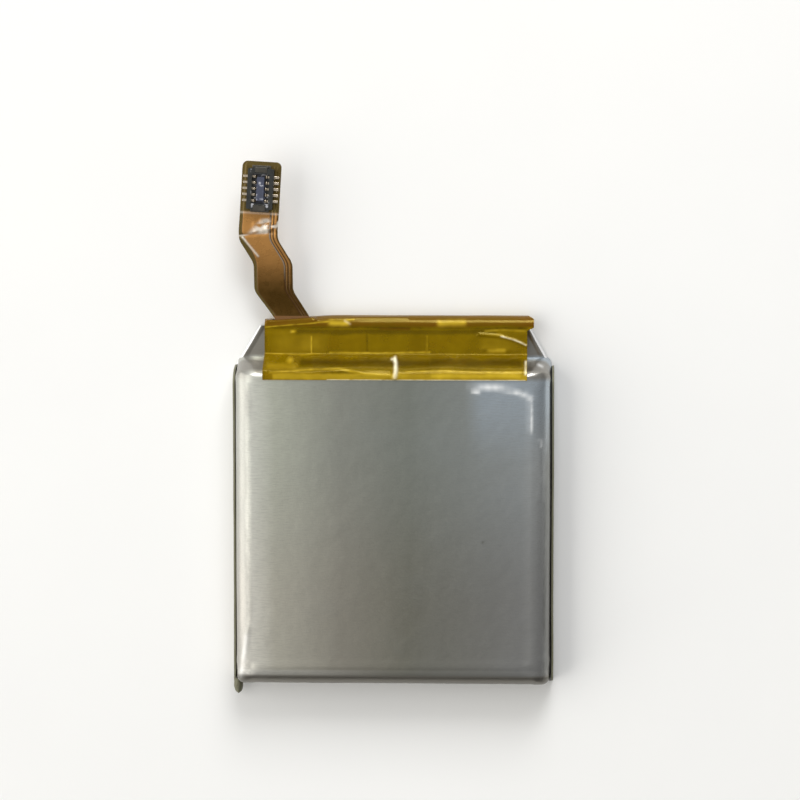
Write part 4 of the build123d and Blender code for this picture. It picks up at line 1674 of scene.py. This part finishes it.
    def _painted_highlights(self, points: np.ndarray, share: np.ndarray) -> np.ndarray:
        """Return where the film is painted white as highlights: at the head's kinks and along two bent edges.

        Args:
            points: coordinates in millimetres.
            share: their places across the strip, from 0 to 1.

        Returns:
            The strength at each point.
        """
        x, y = points[..., 0], points[..., 1]
        kinked = smooth_step(y, 21.35, 21.55) * smooth_step(y, 22.75, 22.5)
        kinked = kinked * smooth_step(x - (y - 21.4) * 0.9, -11.2, -10.5)
        specks = smooth_step(lumps(points * [0.6, 1.0, 0.0], 0.32, 3.3), -0.3, 0.2)
        edge = np.exp(-((to_line(points, [(-11.3, 21.2), (-10.15, 19.75)]) / 0.075) ** 2))
        groove = np.exp(-(((share - 0.79) / 0.012) ** 2))
        groove = groove * smooth_step(y, 17.6, 19.4) * smooth_step(y, 22.9, 22.6)
        fold = np.exp(-(((y - 21.45 - 0.12 * (x + 10.2)) / 0.05) ** 2)) * smooth_step(x, -10.6, -11.2)
        rim = np.exp(-(((y - 22.98) / 0.07) ** 2)) * 0.35
        return np.maximum.reduce([kinked * specks * 0.85, edge * 0.75, groove * 0.32, fold * 0.8, rim])

    def _crumple(self, points: np.ndarray) -> np.ndarray:
        """Return the kinks where the head was folded, and the raised edge below them.

        Args:
            points: coordinates in millimetres.

        Returns:
            The height at each point, in millimetres.
        """
        x, y = points[..., 0], points[..., 1]
        plan = points * [1.0, 1.0, 0.0]
        fold = smooth_step(np.abs(y - 21.95), 0.95, 0.3) * smooth_step(x, -11.2, -9.6)
        kinks = 0.15 * fold * lumps(plan, 0.42, 6.6)
        blister = 0.10 * np.exp(-((np.hypot(x + 9.25, (y - 22.0) * 1.1) - 0.25) / 0.12) ** 2)
        crease = -0.07 * np.exp(-(((y - 21.42 - 0.1 * (x + 10.2)) / 0.12) ** 2))
        raised = 0.05 * np.exp(-((to_line(points, [(-11.3, 21.15), (-10.2, 19.75)]) / 0.1) ** 2))
        waves = 0.02 * lumps(plan, 1.6, 1.2) * smooth_step(y, 15.3, 16.5) * smooth_step(y, 22.9, 22.2)
        return kinks + blister + crease + raised + waves

    def _turned(self, points: np.ndarray) -> np.ndarray:
        """Turn the head about its bend line's middle, in plan.

        Args:
            points: coordinates in millimetres.

        Returns:
            The turned points.
        """
        pivot = np.array([self.tip_left + self.width / 2, self.bend_high])
        angle = self.head_turn * smooth_step(points[..., 1], self.bend_high, self.bend_high + 0.9)
        away = points[..., :2] - pivot
        turned = points.copy()
        turned[..., 0] = pivot[0] + away[..., 0] * np.cos(angle) - away[..., 1] * np.sin(angle)
        turned[..., 1] = pivot[1] + away[..., 0] * np.sin(angle) + away[..., 1] * np.cos(angle)
        return turned


# The parts that keep their CAD shape -----------------------------------------------------------------


@dataclass
class KeptPart:
    """A CAD node that keeps its shape, with a better finish and softened edges."""

    node: str
    finish: bpy.types.Material
    bevel: float = 0.0

    def dress(self) -> None:
        """Give the node its finish and bevel."""
        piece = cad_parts[self.node]
        piece.data.materials.clear()
        piece.data.materials.append(self.finish)
        if self.bevel:
            weld = piece.modifiers.new("weld", "WELD")
            weld.merge_threshold = 0.001 * MM
            soften = piece.modifiers.new("soften", "BEVEL")
            soften.width = self.bevel * MM
            soften.segments = 2
            soften.limit_method = "ANGLE"
            soften.angle_limit = math.radians(40)
        log.info("%s: kept from the CAD model", self.node)


@dataclass
class Electronics:
    """The tabs, the board with what is soldered to it, and the connector."""

    finishes: dict[str, Any] = field(default_factory=lambda: {
        "aluminium": MetalFinish("tab_aluminium", rgb(0.78, 0.78, 0.78), rgb(0.62, 0.62, 0.63)),
        "nickel": MetalFinish("tab_nickel", rgb(0.70, 0.66, 0.58), rgb(0.52, 0.49, 0.43)),
        "gold": MetalFinish("contact_gold", rgb(0.95, 0.86, 0.72), rgb(0.66, 0.52, 0.36), 0.18),
        "dark": MetalFinish("dark_nickel", rgb(0.16, 0.15, 0.13), rgb(0.07, 0.065, 0.055), 0.35),
        "copper": MetalFinish("bare_copper", rgb(0.72, 0.36, 0.20), rgb(0.5, 0.24, 0.12)),
        "board": FilmFinish("board_mask", rgb(0.16, 0.17, 0.09), rgb(0.09, 0.10, 0.05), 0.32, 0.8, 0.01, 0.3),
        "brown": FilmFinish("root_film", rgb(0.20, 0.09, 0.02), rgb(0.13, 0.055, 0.01), 0.25, 0.6, 0.01, 0.3),
        "stiff": FilmFinish("stiffener_film", rgb(0.20, 0.13, 0.045), rgb(0.12, 0.075, 0.025), 0.35, 0.5),
        "black": ConnectorFinish(),
        "package": FilmFinish("package_black", rgb(0.035, 0.035, 0.035), rgb(0.02, 0.02, 0.02), 0.55, 0.15),
        "chip": FilmFinish("chip_body", rgb(0.38, 0.30, 0.22), rgb(0.26, 0.2, 0.14), 0.4, 0.2),
        "paper": FilmFinish("fish_paper", rgb(0.75, 0.78, 0.7), rgb(0.62, 0.66, 0.58), 0.8, 0.3, 0.02),
        "sealant": FilmFinish("tab_sealant", rgb(0.8, 0.8, 0.74), rgb(0.68, 0.68, 0.6), 0.35, 0.5),
    })
    parts: dict[str, tuple[str, float]] = field(default_factory=lambda: {
        "positive_tab": ("aluminium", 0.0),
        "negative_tab": ("nickel", 0.0),
        "positive_tab_sealant": ("sealant", 0.0),
        "negative_tab_sealant": ("sealant", 0.0),
        "board_insulator": ("paper", 0.0),
        "protection_board": ("board", 0.0),
        "protection_ic": ("package", 0.0),
        "switch_transistor": ("package", 0.0),
        "thermistor": ("chip", 0.0),
        "chip_resistors": ("chip", 0.0),
        "chip_capacitors": ("chip", 0.0),
        "weld_pads": ("nickel", 0.03),
        "flex_base_root": ("brown", 0.0),
        "flex_cover_root": ("brown", 0.0),
        "flex_traces_root": ("copper", 0.0),
        "stiffener": ("stiff", 0.03),
        "connector_housing": ("black", 0.03),
        "contacts_left": ("gold", 0.012),
        "contacts_right": ("gold", 0.012),
        "hold_downs": ("dark", 0.015),
    })

    def build(self) -> None:
        """Dress every part."""
        made = {name: finish.build() for name, finish in self.finishes.items()}
        for node, (finish, bevel) in self.parts.items():
            KeptPart(node, made[finish], bevel).dress()


@dataclass
class WoundRoll:
    """The electrodes and separators inside the pouch, which no view shows."""

    finishes: dict[str, Any] = field(default_factory=lambda: {
        "anode_sheet": FilmFinish("graphite_coat", rgb(0.05, 0.05, 0.055), rgb(0.025, 0.025, 0.03), 0.7, 0.1),
        "cathode_sheet": FilmFinish("oxide_coat", rgb(0.09, 0.09, 0.1), rgb(0.05, 0.05, 0.055), 0.65, 0.1),
        "separator_inner": FilmFinish("separator_film", rgb(0.9, 0.9, 0.88), rgb(0.8, 0.8, 0.78), 0.45, 0.5),
        "winding_end_tape": FilmFinish("end_tape", rgb(0.2, 0.5, 0.3), rgb(0.14, 0.4, 0.22), 0.3, 0.5),
    })
    alike: tuple[tuple[str, str], ...] = (
        ("separator_outer", "separator_inner"),
        ("tab_weld_tapes", "winding_end_tape"),
    )

    def build(self) -> None:
        """Dress every layer."""
        made = {node: finish.build() for node, finish in self.finishes.items()}
        for node, material in made.items():
            KeptPart(node, material).dress()
        for node, like in self.alike:
            KeptPart(node, made[like]).dress()


# The studio -----------------------------------------------------------------------------------------


@dataclass(frozen=True)
class Softbox:
    """A square soft light that points at the cell; lengths in metres, power in watts."""

    name: str
    place: tuple[float, float, float]
    size: float
    power: float
    colour: tuple[float, float, float] = (1.0, 1.0, 1.0)

    def build(self, target: Vector) -> None:
        """Make the light.

        Args:
            target: the place it points at, in metres.
        """
        data = bpy.data.lights.new(self.name, "AREA")
        data.size = self.size
        data.energy = self.power
        data.color = self.colour
        lamp = bpy.data.objects.new(self.name, data)
        lamp.location = self.place
        lamp.rotation_euler = (target - lamp.location).to_track_quat("-Z", "Y").to_euler()
        bpy.context.scene.collection.objects.link(lamp)


@dataclass
class Studio:
    """The floor, the lights and the camera, which leans a little from straight above.

    Attributes:
        floor_size: the floor's side, in metres.
        sky: the room's colour.
        sky_strength: its strength where nothing leans it.
        sky_lean: how much it brightens along +X and along +Y.
        camera_distance: from the drawn face to the camera, in metres.
        lean: how far the camera leans along X and Y, for each unit of height.
        view_width: how much of the drawn face's plane the view takes in, in metres.
        centre: the middle of the view, in metres.
        lights: the softboxes.
    """

    floor_size: float = 1.6
    sky: Colour = rgb(1.0, 1.0, 0.985)
    sky_strength: float = 0.45
    sky_lean: tuple[float, float] = (-0.2, 0.24)
    camera_distance: float = 0.26
    lean: tuple[float, float] = (0.04, 0.087)
    view_width: float = 0.05984
    centre: tuple[float, float] = (0.000561, 0.009066)
    lights: tuple[Softbox, ...] = (
        Softbox("left_softbox", (-0.45, 0.0, 0.28), 0.7, 2.5, (1.0, 0.975, 0.92)),
        Softbox("terminal_softbox", (0.06, 0.34, 0.24), 0.19, 0.95, (1.0, 1.0, 1.0)),
    )

    def build(self) -> None:
        """Make the floor, the lights, the sky and the camera."""
        self._floor()
        for light in self.lights:
            light.build(Vector((0.0, 0.0, 0.002)))
        bpy.context.scene.world = self._sky()
        bpy.context.scene.view_settings.view_transform = "Standard"
        self._camera()

    def _sky(self) -> bpy.types.World:
        """Make the room's light: brighter from the left and the terminal end, dimmer from the other two.

        Returns:
            The world.
        """
        graph = Graph("studio_sky", bpy.data.worlds)
        towards = graph.node("ShaderNodeTexCoord", output="Generated")
        x, y = (graph.node("ShaderNodeSeparateXYZ", inputs={0: towards}, output=name) for name in "XY")
        strength = (y * self.sky_lean[1] + x * self.sky_lean[0] + self.sky_strength).clamp()
        sky = graph.node("ShaderNodeBackground", inputs={"Color": self.sky, "Strength": strength})
        return graph.finish(sky, "ShaderNodeOutputWorld")

    def _floor(self) -> None:
        """Make the floor, level with the cell's back."""
        half = self.floor_size / 2 / MM
        corners = np.array([(-half, -half, 0), (half, -half, 0), (half, half, 0), (-half, half, 0)])
        floor = make_piece("floor", corners - [0.0, 0.0, 0.01], [(0, 1, 2, 3)], [FloorFinish().build()])

    def _camera(self) -> None:
        """Make the camera."""
        data = bpy.data.cameras.new("camera")
        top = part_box("pouch_cup")[1].z
        data.sensor_width = 36.0
        data.lens = data.sensor_width * self.camera_distance / self.view_width
        data.clip_start = 0.01
        data.clip_end = 5.0
        camera = bpy.data.objects.new("camera", data)
        back = Vector((*self.lean, 1.0)).normalized()
        right = Vector((0.0, 1.0, 0.0)).cross(back).normalized()
        turn = Matrix((right, back.cross(right), back)).transposed().to_4x4()
        place = Vector((*self.centre, top)) + back * self.camera_distance
        camera.matrix_world = Matrix.Translation(place) @ turn
        bpy.context.scene.collection.objects.link(camera)
        bpy.context.scene.camera = camera


def main() -> None:
    """Build the whole cell and its studio."""
    logging.basicConfig(level=logging.INFO, format="%(message)s")
    Studio().build()
    film, cut_edge = LaminateFinish().build(), CutEdgeFinish().build()
    PouchCup().build(film)
    back = PouchBack()
    # The ledge's lip, painted near white as a highlight where its cut edge catches the light.
    lip_highlight = CutEdgeFinish("laminate_lip_highlight", rgb(0.75, 0.76, 0.76), rgb(0.98, 0.98, 0.98)).build()
    back.build(film, cut_edge, lip_highlight)
    back.build_ear(cut_edge)
    for side in Side:
        FoldedSeal(side).build(film, cut_edge)
    LedgeTape().build(AmberTapeFinish().build())
    FlexTail().build(FlexFilmFinish().build())
    Electronics().build()
    WoundRoll().build()


if __name__ == "__main__":
    main()
